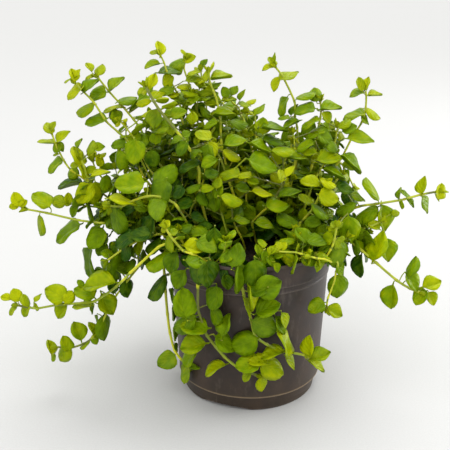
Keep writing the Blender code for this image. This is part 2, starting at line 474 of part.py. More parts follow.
def add_arch_cutter(angle):
    # A wide cylinder lying along the pot's radius: only the top of its curve reaches into the foot
    radius = (ARCH_SPAN ** 2 / 4 + ARCH_HEIGHT ** 2) / (2 * ARCH_HEIGHT)
    length = RIM_RADIUS - ARCH_INNER_RADIUS
    turn = math.radians(angle)
    outward = Vector((math.cos(turn), math.sin(turn), 0))
    place = outward * (ARCH_INNER_RADIUS + length / 2) + Vector((0, 0, ARCH_HEIGHT - radius))
    bpy.ops.mesh.primitive_cylinder_add(vertices=ARCH_SIDES, radius=radius, depth=length, location=place,
                                        rotation=(0, math.pi / 2, turn))
    cutter = bpy.context.object
    cutter.name = "arch_cutter"
    cutter.hide_render = True
    cutter.display_type = "WIRE"
    return cutter


def add_pot():
    body = turned_body(pot_outline())
    tree = BVHTree.FromBMesh(body)
    pot = add_object("pot", body, (0.075, 0.058, 0.045), 0.55)
    for angle in ARCH_ANGLES:
        arch = pot.modifiers.new("arch", "BOOLEAN")
        arch.operation = "DIFFERENCE"
        arch.solver = "EXACT"
        arch.object = add_arch_cutter(angle)
    return tree


def add_compost(rng):
    # The compost stands clear of the drain openings, and its top is a little lumpy.
    rim_share = (SOIL_TOP - POT_HEIGHT + RIM_DROP) / RIM_DROP
    reach = WALL_TOP_RADIUS + (RIM_RADIUS - WALL_TOP_RADIUS) * rim_share - WALL_THICKNESS - 2 * GAP
    floor = WALL_THICKNESS + GAP
    outline = [(0, floor), (ARCH_INNER_RADIUS - GAP, floor), (SOIL_FOOT_RADIUS, SOIL_FOOT),
               (WALL_FOOT_RADIUS - WALL_THICKNESS - 2 * GAP, FOOT_BAND_HEIGHT + GAP),
               (WALL_TOP_RADIUS - WALL_THICKNESS - 2 * GAP, POT_HEIGHT - RIM_DROP), (reach, SOIL_TOP)]
    outline += [(reach * share, SOIL_TOP) for share in SOIL_RING_SHARES] + [(0, SOIL_TOP)]
    body = turned_body(outline)
    for vert in body.verts:
        if vert.co.z > SOIL_TOP - 0.1 * MM:
            vert.co.z += rng.uniform(-SOIL_LUMP, SOIL_LUMP)
    tree = BVHTree.FromBMesh(body)
    add_object("compost", body, (0.025, 0.018, 0.012), 0.95)
    return tree


def photo_point(across, down, depth):
    ray = LOOK + RIGHT * ((across - PHOTO_CENTRE) / FOCAL) + UP * ((PHOTO_CENTRE - down) / FOCAL)
    return EYE + ray * ((depth - EYE.y) / ray.y)


def photo_leaf(place, leaf):
    across, down, length = leaf[:3]
    facing = leaf[3] if len(leaf) > 3 else None
    span = (RIGHT * across - UP * down) * ((place - EYE).dot(LOOK) / FOCAL)
    away = math.sqrt(max((length * MM) ** 2 - span.length_squared, 0))
    return span + LOOK * math.copysign(away, length), facing


def over_rim(start, end):
    # The place where a stem that runs from start to end lies over the pot's rim, if it would pass lower
    crossing = RIM_RADIUS - WALL_THICKNESS / 2
    run = (end - start).to_2d()
    if start.to_2d().length > crossing or end.to_2d().length < crossing:
        return None
    half_b = start.to_2d().dot(run) / run.length_squared
    inside = (crossing ** 2 - start.to_2d().length_squared) / run.length_squared
    share = math.sqrt(half_b ** 2 + inside) - half_b
    place = start.lerp(end, share)
    if place.z > POT_HEIGHT + OVER_RIM:
        return None
    place.z = POT_HEIGHT + OVER_RIM
    return place


def photo_nodes(shoot):
    nodes = []
    for across, down, depth, *leaves in shoot["nodes"]:
        place = photo_point(across, down, depth * MM)
        nodes.append((place, [photo_leaf(place, leaf) for leaf in leaves]))
    return nodes


def back_nodes(shoot, rng):
    # The route is a parabola through the root, the top and the end. Each pair of leaves is turned
    # a quarter from the last, and leans forward along the stem.
    angle = math.radians(shoot["angle"])
    outward = Vector((math.cos(angle), math.sin(angle), 0))
    aside = Vector((-math.sin(angle), math.cos(angle), 0))
    rise, end = shoot["rise"], shoot["end"]
    bow = 2 * rise - end + 2 * math.sqrt(rise * (rise - end))
    nodes = []
    for step in range(1, BACK_NODES + 1):
        share = step / BACK_NODES
        height = bow * share - (bow - end) * share * share
        place = outward * (shoot["root"] + shoot["reach"] * share) * MM
        place += aside * rng.uniform(-2, 2) * MM + Vector((0, 0, SOIL_TOP + height * MM))
        slope = bow - 2 * (bow - end) * share
        growth = (outward * shoot["reach"] + Vector((0, 0, slope))).normalized()
        across = aside if step % 2 else aside.cross(growth)
        length = BACK_LEAF_AT_ROOT + (BACK_LEAF_AT_TIP - BACK_LEAF_AT_ROOT) * share
        spread = math.radians(BACK_LEAF_SPREAD - 30 * share)
        leaves = []
        for side in (1, -1):
            way = across * side * math.sin(spread) + growth * math.cos(spread)
            leaves.append((way * length * rng.uniform(0.85, 1.1), None))
        nodes.append((place, leaves))
    return nodes


def main_nodes(nodes):
    # The nodes with their larger leaves, without the bare ones that hardly bend the stem
    kept = [nodes[0]]
    for index in range(1, len(nodes)):
        place, leaves = nodes[index]
        leaves = [leaf for leaf in leaves if leaf[0].length >= SMALLEST_LEAF]
        if not leaves and index < len(nodes) - 1:
            start = kept[-1][0]
            way = (nodes[index + 1][0] - start).normalized()
            if (place - start).cross(way).length < SMALLEST_BEND:
                continue
        kept.append((place, leaves))
    return kept


def rooted_nodes(nodes, soil):
    # Stands the root on the compost, and takes the stem over the rim where it would run through it.
    root = nodes[0][0]
    root.z = soil.ray_cast(Vector((root.x, root.y, POT_HEIGHT)), Vector((0, 0, -1)))[0].z
    routed = [nodes[0]]
    for place, leaves in nodes[1:]:
        crossing = over_rim(routed[-1][0], place)
        if crossing:
            routed.append((crossing, []))
        routed.append((place, leaves))
    return routed


def best_turn(frame, last):
    # Of the four equal quarter turns of a square ring, the one that twists the stem least
    side, other = frame
    turns = [(side, other), (other, -side), (-side, -other), (-other, side)]
    return max(turns, key=lambda turn: turn[0].dot(last[0]))


def ring_frame(growth, reference, last):
    side = (reference - reference.project(growth)).normalized()
    return best_turn((side, growth.cross(side)), last)


def place_ring(face, last, centre, frame, half):
    # Moves a square face's corners to a new ring, each corner staying on its own side of the stem
    middle = face.calc_center_median()
    for vert in face.verts:
        corner = vert.co - middle
        side = math.copysign(half, corner.dot(last[0]))
        other = math.copysign(half, corner.dot(last[1]))
        vert.co = centre + frame[0] * side + frame[1] * other


def grow_stem(nodes, width):
    # A square stem of one skin: one ring at a bare node, and two close rings, with four side faces
    # between them for the leaves, at a node that has any. Returns the body and each node's faces.
    half = stem_half(width)
    places = [place for place, leaves in nodes]
    first = (places[1] - places[0]).normalized()
    slant = math.sqrt(max(1 - first.z ** 2, 0))
    places[0] = places[0] + Vector((0, 0, GAP + math.sqrt(2) * half * slant))
    body = bmesh.new()
    bmesh.ops.create_cube(body, size=1)
    low = min(body.faces, key=lambda face: face.calc_center_median().z)
    top = max(body.faces, key=lambda face: face.calc_center_median().z)
    flat = (Vector((1, 0, 0)), Vector((0, 1, 0)))
    frame = ring_frame(first, Vector((1, 0, 0)) + first.orthogonal() * 0.01, flat)
    place_ring(low, flat, places[0], frame, half)
    bare = True
    last = flat
    sites = []
    for index in range(1, len(nodes)):
        place, leaves = places[index], nodes[index][1]
        ahead = places[min(index + 1, len(places) - 1)]
        growth = ((place - places[index - 1]).normalized() + (ahead - place).normalized()).normalized()
        reference = leaves[0][0] if leaves else frame[0]
        next_frame = ring_frame(growth, reference, frame)
        shift = growth * (JOINT_LENGTH / 2 if leaves else 0)
        if not bare:
            top = bmesh.ops.extrude_discrete_faces(body, faces=[top])["faces"][0]
        place_ring(top, flat if bare else frame, place - shift, next_frame, half)
        bare = False
        frame = next_frame
        if leaves:
            top = bmesh.ops.extrude_discrete_faces(body, faces=[top])["faces"][0]
            place_ring(top, frame, place + shift, frame, half)
            faces = [face for edge in top.edges for face in edge.link_faces if face != top]
            if index == len(nodes) - 1:
                faces.append(top)
            sites.append((place, growth, faces, leaves))
    bmesh.ops.recalc_face_normals(body, faces=body.faces)
    return body, sites


def leaf_width(place):
    share = min(max((place.z - LOW_HEIGHT) / (HIGH_HEIGHT - LOW_HEIGHT), 0), 1)
    return LOW_LEAF_WIDTH + (HIGH_LEAF_WIDTH - LOW_LEAF_WIDTH) * share


def upper_side(place, axis, growth, facing):
    toward_eye = (EYE - place).normalized()
    if facing == FRONT:
        way = toward_eye
    elif facing == EDGE:
        way = axis.cross(toward_eye)
        if way.z < 0:
            way.negate()
    else:
        way = growth + Vector((0, 0, 0.6))
    return (way - way.project(axis)).normalized()


def leaf_rings(neck, tip, normal, width, neck_half, spare):
    # The leaf's neck, its widest part and its blunt end, as rings of four corners that run the same way
    reach = tip - neck
    axis = reach.normalized()
    side = normal.cross(axis)
    length = reach.length
    sizes = ((0, neck_half, neck_half), (LEAF_MIDDLE, width * length / 2, LEAF_THICKNESS / 2),
             (1, width * length * LEAF_END_WIDTH / 2, 0))
    rings = []
    for share, wide, thick in sizes:
        middle = neck + reach * share
        wide, thick = wide + spare, thick + spare
        rings.append([middle + side * (wide * a) + normal * (thick * b)
                      for a, b in ((1, 1), (-1, 1), (-1, -1), (1, -1))])
    return rings


def matched_rings(face, rings):
    # Each ring's corners from the one nearest the face's first, so that the leaf doesn't twist
    corners = [loop.vert.co for loop in face.loops]
    matched = []
    for ring in rings:
        turns = [ring[start:] + ring[:start] for start in range(4)]
        corners = min(turns, key=lambda turn: sum((old - new).length for old, new in zip(corners, turn)))
        matched.append(corners)
    return matched


def both_splits(faces):
    # Each four-sided face is split both ways, because its corners needn't lie in one plane.
    return [corners for a, b, c, d in faces for corners in ((a, b, c), (a, c, d), (a, b, d), (b, c, d))]


def skin_tree(body):
    body.verts.index_update()
    faces = [[vert.index for vert in face.verts] for face in body.faces]
    halves = [face for face in faces if len(face) == 3]
    halves += both_splits([face for face in faces if len(face) == 4])
    return BVHTree.FromPolygons([vert.co for vert in body.verts], halves)


def rings_tree(rings):
    points = [corner for ring in rings for corner in ring]
    faces = [(0, 1, 2, 3), (8, 9, 10, 11)]
    for start in (0, 4):
        faces += [(start + k, start + (k + 1) % 4, start + 4 + (k + 1) % 4, start + 4 + k) for k in range(4)]
    return BVHTree.FromPolygons(points, both_splits(faces))


def touches(tree, others):
    return any(tree.overlap(other) for other in others)


def leaf_poses():
    # As read first, then a little rolled, lifted or shorter
    for scale in LEAF_SCALES:
        for lift in LEAF_LIFTS:
            for roll in LEAF_ROLLS:
                yield scale, math.radians(lift), math.radians(roll)


def fitting_leaf(face, site, vector, facing, half, others, own, body):
    # The first pose that keeps the leaf clear of all its neighbours.
    # Against its own shoot the blade keeps its distance, and the neck only stays out of the skin.
    place, growth = site
    skin = skin_tree(body)
    foot = [loop.vert.co + face.normal * SKIN_CLEAR for loop in face.loops]
    base = face.calc_center_median()
    width = leaf_width(place)
    for scale, lift, roll in leaf_poses():
        reach = place + vector * scale - base
        normal = upper_side(place, reach.normalized(), growth, facing)
        lifting = Quaternion(normal.cross(reach).normalized(), lift)
        reach.rotate(lifting)
        normal.rotate(lifting)
        normal.rotate(Quaternion(reach.normalized(), roll))
        tip = base + reach
        neck = base + reach.normalized() * NECK_CLEAR
        whole = rings_tree(leaf_rings(neck, tip, normal, width, half, GAP / 2))
        blade = rings_tree(leaf_rings(base + reach * BLADE_START, tip, normal, width, half, GAP / 2))
        if touches(whole, others) or touches(blade, own):
            continue
        rings = matched_rings(face, leaf_rings(base, tip, normal, width, half, 0)[1:])
        if not touches(rings_tree([foot] + rings), [skin]):
            return rings, whole, blade
    return None


def extrude_leaf(body, face, rings):
    for ring in rings:
        face = bmesh.ops.extrude_discrete_faces(body, faces=[face])["faces"][0]
        corners = [loop.vert for loop in face.loops]
        for vert, place in zip(corners, ring):
            vert.co = place
    bmesh.ops.remove_doubles(body, verts=corners, dist=JOIN_DISTANCE)


def dress_stem(body, sites, half, others, own):
    # Each leaf grows out of the free side of its node that looks its way most.
    wholes = []
    for place, growth, faces, leaves in sites:
        free = list(faces)
        for vector, facing in leaves:
            if not free:
                break
            body.normal_update()
            for face in sorted(free, key=lambda side: side.normal.dot(vector))[:-3:-1]:
                fitted = fitting_leaf(face, (place, growth), vector, facing, half, others, own, body)
                if fitted:
                    rings, whole, blade = fitted
                    free.remove(face)
                    extrude_leaf(body, face, rings)
                    own.append(blade)
                    wholes.append(whole)
                    break
    return wholes


def stem_half(width):
    return width * MM / 2 * SQUARE_SHARE


def plant_nodes(soil):
    # Every shoot's stem width and its nodes, the root first
    plant = {}
    for name, shoot in SHOOTS.items():
        x, y = shoot["root"]
        plant[name] = (shoot["stem"], [(Vector((x * MM, y * MM, SOIL_TOP)), [])] + photo_nodes(shoot))
    for name, shoot in BACK_SHOOTS.items():
        angle = math.radians(shoot["angle"])
        reach = shoot["root"] * MM
        root = Vector((reach * math.cos(angle), reach * math.sin(angle), SOIL_TOP))
        plant[name] = (BACK_STEM, [(root, [])] + back_nodes(shoot, random.Random(name)))
    return {name: (width, rooted_nodes(main_nodes(nodes), soil))
            for name, (width, nodes) in plant.items()}


def shoot_colour(nodes):
    # Low leaves are dark, high ones a young yellow-green.
    height = sum(place.z for place, leaves in nodes[1:]) / len(nodes[1:])
    share = min(max((height - SOIL_TOP) / (HIGH_HEIGHT - SOIL_TOP), 0), 1)
    return [dark + (young - dark) * share for dark, young in zip(LOW_COLOUR, HIGH_COLOUR)]


def add_plant(walls, soil):
    plant = plant_nodes(soil)
    stems = {name: grow_stem(nodes, width) for name, (width, nodes) in plant.items()}
    stem_trees = {name: BVHTree.FromBMesh(body) for name, (body, sites) in stems.items()}
    grown = [walls, soil]
    for name, (body, sites) in stems.items():
        width, nodes = plant[name]
        others = grown + [tree for other, tree in stem_trees.items() if other != name]
        grown += dress_stem(body, sites, stem_half(width), others, [stem_trees[name]])
        bmesh.ops.recalc_face_normals(body, faces=body.faces)
        add_object(name, body, shoot_colour(nodes), 0.5)


def main():
    rng = random.Random(12)
    clear_scene()
    walls = add_pot()
    soil = add_compost(rng)
    add_plant(walls, soil)


main()
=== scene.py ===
import math
import random
import time
import bmesh
import bpy
from mathutils import Matrix, Quaternion, Vector


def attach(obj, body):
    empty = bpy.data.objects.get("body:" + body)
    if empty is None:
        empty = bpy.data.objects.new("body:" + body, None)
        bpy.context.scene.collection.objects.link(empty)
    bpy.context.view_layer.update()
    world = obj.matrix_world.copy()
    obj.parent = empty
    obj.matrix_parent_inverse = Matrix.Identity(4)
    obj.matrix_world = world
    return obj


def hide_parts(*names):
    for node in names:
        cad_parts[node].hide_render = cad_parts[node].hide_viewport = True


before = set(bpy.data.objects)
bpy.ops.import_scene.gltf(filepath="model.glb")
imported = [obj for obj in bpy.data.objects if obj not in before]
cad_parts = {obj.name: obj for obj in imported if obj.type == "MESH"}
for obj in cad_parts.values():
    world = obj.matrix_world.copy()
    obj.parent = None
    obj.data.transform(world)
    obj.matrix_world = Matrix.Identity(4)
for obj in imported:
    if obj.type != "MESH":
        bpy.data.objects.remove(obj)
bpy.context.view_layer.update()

mm = 0.001


# small helpers

def deselectAll():
    for thing in bpy.context.selected_objects:
        thing.select_set(False)


def pick(thing, *others):  # all of them selected, the first one active
    deselectAll()
    for each in (thing, *others):
        each.select_set(True)
    bpy.context.view_layer.objects.active = thing


def primitive(add, name, **sizes):
    deselectAll()
    add(**sizes)
    thing = bpy.context.object
    thing.name = name
    thing.data.name = name
    return thing


def copyOf(template, place):  # with a mesh of its own, moved by the matrix
    copy = template.copy()
    copy.data = template.data.copy()
    copy.data.transform(place)
    bpy.context.scene.collection.objects.link(copy)
    return copy


def modify(thing, name, kind, **settings):
    modifier = thing.modifiers.new(name, kind)
    for key, value in settings.items():
        setattr(modifier, key, value)


def cloudTexture(name, size):  # size in mm
    texture = bpy.data.textures.new(name, "CLOUDS")
    texture.noise_scale = size * mm
    return texture


def applyAll(thing):  # every modifier, then the place, so the object sits at the origin
    pick(thing)
    for modifier in list(thing.modifiers):
        bpy.ops.object.modifier_apply(modifier=modifier.name)
    bpy.ops.object.transform_apply(location=True, rotation=True, scale=True)


def selectWhere(test):  # in edit mode: the points that pass the test, and the edges and faces between them
    shape = bmesh.from_edit_mesh(bpy.context.edit_object.data)
    for vert in shape.verts:
        vert.select_set(False)
    shape.select_flush(False)
    for vert in shape.verts:
        if test(vert.co):
            vert.select_set(True)
    shape.select_flush(True)
    bmesh.update_edit_mesh(bpy.context.edit_object.data)


# helpers for materials: an input is given a value, a colour, or the (node, output) pair that feeds it

def linear(colour):  # sRGB hex to linear; a number is a shade of grey, and a linear colour stays as it is
    if isinstance(colour, str):
        parts = [int(colour[i:i + 2], 16) / 255 for i in (1, 3, 5)]
        return [p / 12.92 if p <= 0.04045 else ((p + 0.055) / 1.055) ** 2.4 for p in parts] + [1]
    return [colour] * 3 + [1] if isinstance(colour, (int, float)) else colour


def node(tree, kind, settings=None):  # adds a node, sets its properties and inputs, and links what feeds it
    new = tree.nodes.new(kind)
    for key, given in (settings or {}).items():
        if not isinstance(key, int) and key not in new.inputs:
            setattr(new, key, given)
        elif isinstance(given, tuple) and hasattr(given[0], "outputs"):
            tree.links.new(given[0].outputs[given[1]], new.inputs[key])
        else:
            new.inputs[key].default_value = linear(given) if isinstance(given, str) else given
    return new


def maths(tree, operation, *values, clamp=False):
    settings = {"operation": operation, "use_clamp": clamp}
    return node(tree, "ShaderNodeMath", settings | dict(enumerate(values))), 0


def mixColour(tree, factor, first, second, blend="MIX"):
    settings = {"data_type": "RGBA", "blend_type": blend, 0: factor, 6: first, 7: second}
    return node(tree, "ShaderNodeMix", settings), 2


def ramp(tree, source, stops):  # stops are (position, colour)
    new = node(tree, "ShaderNodeValToRGB", {"Fac": source})
    marks = new.color_ramp.elements
    while len(marks) < len(stops):
        marks.new(0.5)
    for mark, (position, colour) in zip(marks, stops):
        mark.position = position
        mark.color = linear(colour)
    return new, "Color"


def mapRange(tree, source, ends, results=(0, 1)):
    names = ("Value", "From Min", "From Max", "To Min", "To Max")
    return node(tree, "ShaderNodeMapRange", dict(zip(names, (source, *ends, *results)))), "Result"


def attribute(tree, name):
    return node(tree, "ShaderNodeAttribute", {"attribute_name": name}), "Fac"


def noise(tree, place, size, detail, roughness=0.5):  # size in mm
    settings = {"Vector": place, "Scale": 1 / (size * mm), "Detail": detail, "Roughness": roughness}
    return node(tree, "ShaderNodeTexNoise", settings), "Fac"


def bump(tree, height, strength, depth):  # depth in mm
    settings = {"Strength": strength, "Distance": depth * mm, "Height": height}
    return node(tree, "ShaderNodeBump", settings), "Normal"


def principled(tree, settings):
    return node(tree, "ShaderNodeBsdfPrincipled", settings), "BSDF"


def newMaterial(name):  # gives its tree too, and the place on the object that feeds its textures
    material = bpy.data.materials.new(name)
    material.use_nodes = True
    tree = material.node_tree
    tree.nodes.clear()
    return material, tree, (node(tree, "ShaderNodeTexCoord"), "Object")


def finishMaterial(tree, shader):
    node(tree, "ShaderNodeOutputMaterial", {"Surface": shader})


# materials

leafLook = dict(
    young="#c4cc02", mature="#7f9f02", old="#285405", vein="#a6b42a", under="#8faa1e",
    sheen=(0.5, 0.72, 0.16, 1), wax=(0.72, 0.9, 0.42, 1),
    ageSpread=0.3,  # from leaf to leaf
    patchSpread=0.7, patches=5,  # within a leaf, and mm across
    usualLength=15, veinSpacing=1.3,  # mm: the leaf, and between its side veins
    veinLean=0.8, veinDepth=-0.55, midribDepth=-0.8,
    quilting=0.9, quiltHeight=0.3,  # raised cells between the veins: mm across, and how much they stand up
    roughness=0.33, glow=0.34)
leafSides = {
    "upper side": dict(veins=0.16, duller=0, specular=0.5),
    "underside": dict(veins=0.6, duller=0.15, specular=0.3, paler=0.45),
}


def leafMaterial(name, side):
    # fresh leaf: a thin waxy skin over wet tissue, so a soft broad sheen, and light glows through it
    look = leafLook
    material, tree, place = newMaterial(name)
    chance = attribute(tree, "chance")
    leafMap = (node(tree, "ShaderNodeUVMap", {"uv_map": "UVMap"}), "UV")
    split = node(tree, "ShaderNodeSeparateXYZ", {"Vector": leafMap})

    # colour by age, pushed about a little from leaf to leaf and in soft patches of a few millimetres; the age
    # also holds painted shade, raised for low, inner and crown-filling leaves and for dark leaves of the
    # crown's list
    push = maths(tree, "MULTIPLY_ADD", chance, look["ageSpread"], -look["ageSpread"] / 2)
    patches = noise(tree, place, look["patches"], 2)
    drift = maths(tree, "MULTIPLY_ADD", patches, look["patchSpread"], -look["patchSpread"] / 2)
    pushed = maths(tree, "ADD", attribute(tree, "age"), push)
    aged = maths(tree, "ADD", pushed, drift, clamp=True)
    blade = ramp(tree, aged, [(0, look["young"]), (0.5, look["mature"]), (1, look["old"])])

    # veins from the leaf's own map: a midrib, and side veins that run forward from it
    outward = maths(tree, "ABSOLUTE", maths(tree, "SUBTRACT", (split, "X"), 0.5))
    midrib = ramp(tree, outward, [(0, 1), (0.035, 0)])
    along = maths(tree, "SUBTRACT", (split, "Y"), maths(tree, "MULTIPLY", outward, look["veinLean"]))
    wave = maths(tree, "MULTIPLY", along, math.tau * look["usualLength"] / look["veinSpacing"] / 2)
    ripple = maths(tree, "SINE", wave)
    sideVeins = ramp(tree, ripple, [(0.86, 0), (1, 0.55)])
    veins = mixColour(tree, 1, midrib, sideVeins, "LIGHTEN")
    colour = mixColour(tree, maths(tree, "MULTIPLY", veins, side["veins"]), blade, look["vein"])
    if "paler" in side:
        colour = mixColour(tree, side["paler"], colour, look["under"])

    # fine quilting between the veins, and the veins a little sunk
    cells = node(tree, "ShaderNodeTexVoronoi", {"Scale": 1 / (look["quilting"] * mm), "Vector": place})
    groove = maths(tree, "MULTIPLY", veins, look["midribDepth"])
    sunk = maths(tree, "MULTIPLY_ADD", ripple, look["veinDepth"], groove)
    relief = bump(tree, maths(tree, "MULTIPLY_ADD", (cells, "Distance"), look["quiltHeight"], sunk), 0.6, 0.2)

    waxy = ramp(tree, chance, [(0.72, look["sheen"]), (0.86, look["wax"])])  # some leaves are greyer with wax
    skin = principled(tree, {
        "Base Color": colour, "Normal": relief, "IOR": 1.43, "Roughness": look["roughness"] + side["duller"],
        "Specular Tint": waxy, "Specular IOR Level": side["specular"]})
    through = (node(tree, "ShaderNodeBsdfTranslucent", {"Color": colour, "Normal": relief}), "BSDF")
    both = (node(tree, "ShaderNodeMixShader", {0: look["glow"], 1: skin, 2: through}), "Shader")
    finishMaterial(tree, both)
    return material


stemLook = dict(young="#cfd026", old="#8c9c1e", foot="#68702c", roughness=0.45, grain=1.6, spread=0.3)


def stemMaterial():
    # soft green stem: smooth juicy skin with a faint lengthwise grain, browner where it leaves the soil
    look = stemLook
    material, tree, place = newMaterial("fresh square stem")
    streaks = noise(tree, place, look["grain"], 3)
    shade = maths(tree, "MULTIPLY_ADD", streaks, look["spread"], -look["spread"] / 2)
    # the age also holds painted shade on the inner shoots and long leaf stalks, and painted light on the
    # trailing front shoots
    aged = maths(tree, "ADD", attribute(tree, "age"), shade, clamp=True)
    colour = ramp(tree, aged, [(0, look["young"]), (0.7, look["old"]), (1, look["foot"])])
    finishMaterial(tree, principled(tree, {
        "Base Color": colour, "Normal": bump(tree, streaks, 0.25, 0.1), "Roughness": look["roughness"],
        "IOR": 1.43, "Subsurface Weight": 0.15, "Subsurface Scale": 0.6 * mm}))
    return material


potLook = dict(
    plastic="#23160f", dust="#493729", ledge="#8a7452", clay="#40331f", rub="#877a6e",
    clouds=22, scuff=7, grain=0.35,  # mm
    splashed=(34, 2), ledgeAt=(8, 13),  # mm above the ground
    roughness=0.36, dustier=0.25)


def potMaterial():
    # injection moulded, recycled polypropylene: dull, dusty, with dry clay near the foot and rubbed edges
    look = potLook
    material, tree, place = newMaterial("moulded polypropylene")
    height = (node(tree, "ShaderNodeSeparateXYZ", {"Vector": place}), "Z")
    clouds = noise(tree, place, look["clouds"], 5, 0.62)
    stretched = (node(tree, "ShaderNodeMapping", {"Scale": (1, 1, 0.3), "Vector": place}), "Vector")
    scuffs = noise(tree, stretched, look["scuff"], 8, 0.7)
    dusty = mixColour(tree, ramp(tree, clouds, [(0.42, 0), (0.75, 0.6)]), look["plastic"], look["dust"])
    scuffed = mixColour(tree, ramp(tree, scuffs, [(0.56, 0), (0.72, 0.22)]), dusty, look["rub"])
    # dry clay splashes, strongest on the foot band, and a line of it on the ledge above the band
    low = mapRange(tree, height, [z * mm for z in look["splashed"]], (0, 0.75))
    clayed = mixColour(tree, maths(tree, "MULTIPLY", low, scuffs, clamp=True), scuffed, look["clay"])
    band = mapRange(tree, height, [z * mm for z in look["ledgeAt"]])
    ledge = ramp(tree, band, [(0.34, 0), (0.44, 1), (0.6, 1), (0.72, 0)])
    lined = mixColour(tree, maths(tree, "MULTIPLY", ledge, scuffs, clamp=True), clayed, look["ledge"])
    # rubbed edges from the curvature of the surface
    edges = (node(tree, "ShaderNodeNewGeometry"), "Pointiness")
    colour = mixColour(tree, ramp(tree, edges, [(0.52, 0), (0.6, 0.55)]), lined, look["rub"])
    gloss = mapRange(tree, clouds, (0, 1), (look["roughness"], look["roughness"] + look["dustier"]))
    relief = maths(tree, "MULTIPLY_ADD", scuffs, 0.5, noise(tree, place, look["grain"], 2))
    finishMaterial(tree, principled(tree, {
        "Base Color": colour, "Normal": bump(tree, relief, 0.3, 0.15), "IOR": 1.49, "Roughness": gloss}))
    return material


soilLook = dict(dark="#15100b", brown="#33261a", fibre="#6a543a", grain=1.4, patches=9)


def soilMaterial():
    # moist peat compost: nearly black, matt, with brown fibres and crumbs
    look = soilLook
    material, tree, place = newMaterial("moist peat compost")
    crumbs = noise(tree, place, look["grain"], 4, 0.7)
    total = maths(tree, "MULTIPLY", crumbs, noise(tree, place, look["patches"], 2))
    colour = ramp(tree, total, [(0.15, look["dark"]), (0.34, look["brown"]), (0.5, look["fibre"])])
    finishMaterial(tree, principled(tree, {
        "Base Color": colour, "Normal": bump(tree, crumbs, 0.8, 0.6), "IOR": 1.4, "Roughness": 0.9}))
    return material


# the pot's size, which the leaves lean on too

potShape = dict(
    sides=96, footInside=39.6, floorStep=(0.6, 0.4),  # mm: the underside steps in and up by these
    # outside profile, radius and height in mm from the foot up
    outside=[(42.6, 0), (43.15, 0.55), (44.5, 9.5), (45.2, 10.0), (46.1, 10.2), (46.45, 10.6), (46.35, 11.3),
             (47.1, 26), (47.9, 42), (48.8, 59), (49.6, 74), (49.9, 80.6), (50.15, 81.1), (50.55, 81.4),
             (50.55, 82.2), (50.3, 82.6), (50.35, 84.6), (50.6, 84.9), (51.0, 85.2), (51.0, 85.9),
             (50.85, 86.4), (51.2, 90), (51.6, 96), (51.7, 97.3), (52.1, 97.8), (52.5, 98.3), (52.5, 99.4),
             (52.3, 99.85), (51.9, 100), (51.5, 99.85)],
    inside=[(51.1, 99), (50.5, 93), (49.8, 86), (48.6, 76), (46.6, 40), (45.1, 12), (43.4, 2.3), (42.9, 1.6),
            (40, 1.4)],
    archHeight=2.5, archSpan=38.4, archInner=36, archOuter=60, archAngles=(-111, 9, 129),
    dent=0.35, dentSize=38)
potTop = 100 * mm
rimRadius = 52.5 * mm
rimFoot = 97 * mm
wall = 1.3 * mm
mouth = 48.5 * mm  # radius of the opening at the compost
soilTop = 92.5 * mm
overSoil = 1.5 * mm  # what the leaves keep between them and the compost
offPot = 1.2 * mm  # and the pot


# the leaf, modelled once in a few shapes: along +Y from its stalk at 0 to its tip at 1, upper side up

leafRows = {  # how far along the leaf each row of points lies, and its share of the full width
    "round": [(0, 0.05), (0.11, 0.07), (0.17, 0.52), (0.28, 0.83), (0.44, 0.99), (0.62, 0.98), (0.79, 0.8),
              (0.92, 0.48), (1, 0.14)],
    "oval": [(0, 0.05), (0.12, 0.08), (0.19, 0.38), (0.31, 0.74), (0.46, 0.97), (0.62, 0.98), (0.78, 0.76),
             (0.92, 0.4), (1, 0.08)],
    "broad": [(0, 0.05), (0.1, 0.08), (0.16, 0.66), (0.25, 0.92), (0.4, 1), (0.58, 0.95), (0.76, 0.78),
              (0.91, 0.44), (1, 0.12)],
}
leafShapes = {
    # cup lifts the edges, fold sinks the midrib, droop bends the tip down, wave ripples the edge and sway
    # bends the leaf aside
    "flat round leaf": dict(rows="round", cup=-0.06, fold=0.06, droop=0.16, wave=0.035, sway=0.05),
    "cupped round leaf": dict(rows="broad", cup=0.14, fold=0.06, droop=-0.05, wave=0.04, sway=-0.07),
    "arched round leaf": dict(rows="round", cup=-0.14, fold=0.07, droop=0.34, wave=0.045, sway=-0.04),
    "broad leaf": dict(rows="broad", cup=0.05, fold=0.08, droop=0.25, wave=0.07, sway=0.08),
    "wavy oval leaf": dict(rows="oval", cup=0.04, fold=0.08, droop=0.22, wave=0.09, sway=-0.09),
    "folded oval leaf": dict(rows="oval", cup=0.2, fold=0.12, droop=0.14, wave=0.05, sway=0.06),
    "curled oval leaf": dict(rows="oval", cup=-0.16, fold=0.08, droop=0.42, wave=0.06, sway=0.1),
    "bud leaf": dict(rows="oval", cup=0.2, fold=0.06, droop=-0.16, wave=0.01, sway=0),
}
leafThickness = 0.02  # of the leaf's length: 0.3 mm on a 15 mm leaf
columns = 4
stalkRows = 2  # the first rows are the stalk, and stay straight
parked = 10  # rows that are done wait this far ahead, away from those to come
ripples = 7  # radians of edge wave along the leaf
blunt = 0.025  # how far the corners of the tip are drawn back
innerCup, innerFold = 0.3, 0.6  # how much of the cup and the fold lifts the blade halfway to its edge
midribFold = 0.4  # and how much of the fold sinks its midrib


def liftPoints(along, across, back, rise):  # of one row, that far from the middle line
    selectWhere(lambda co: abs(co.y - along) < 0.001 and abs(co.x - across) < 0.001)
    bpy.ops.transform.translate(value=(0, -back, rise))


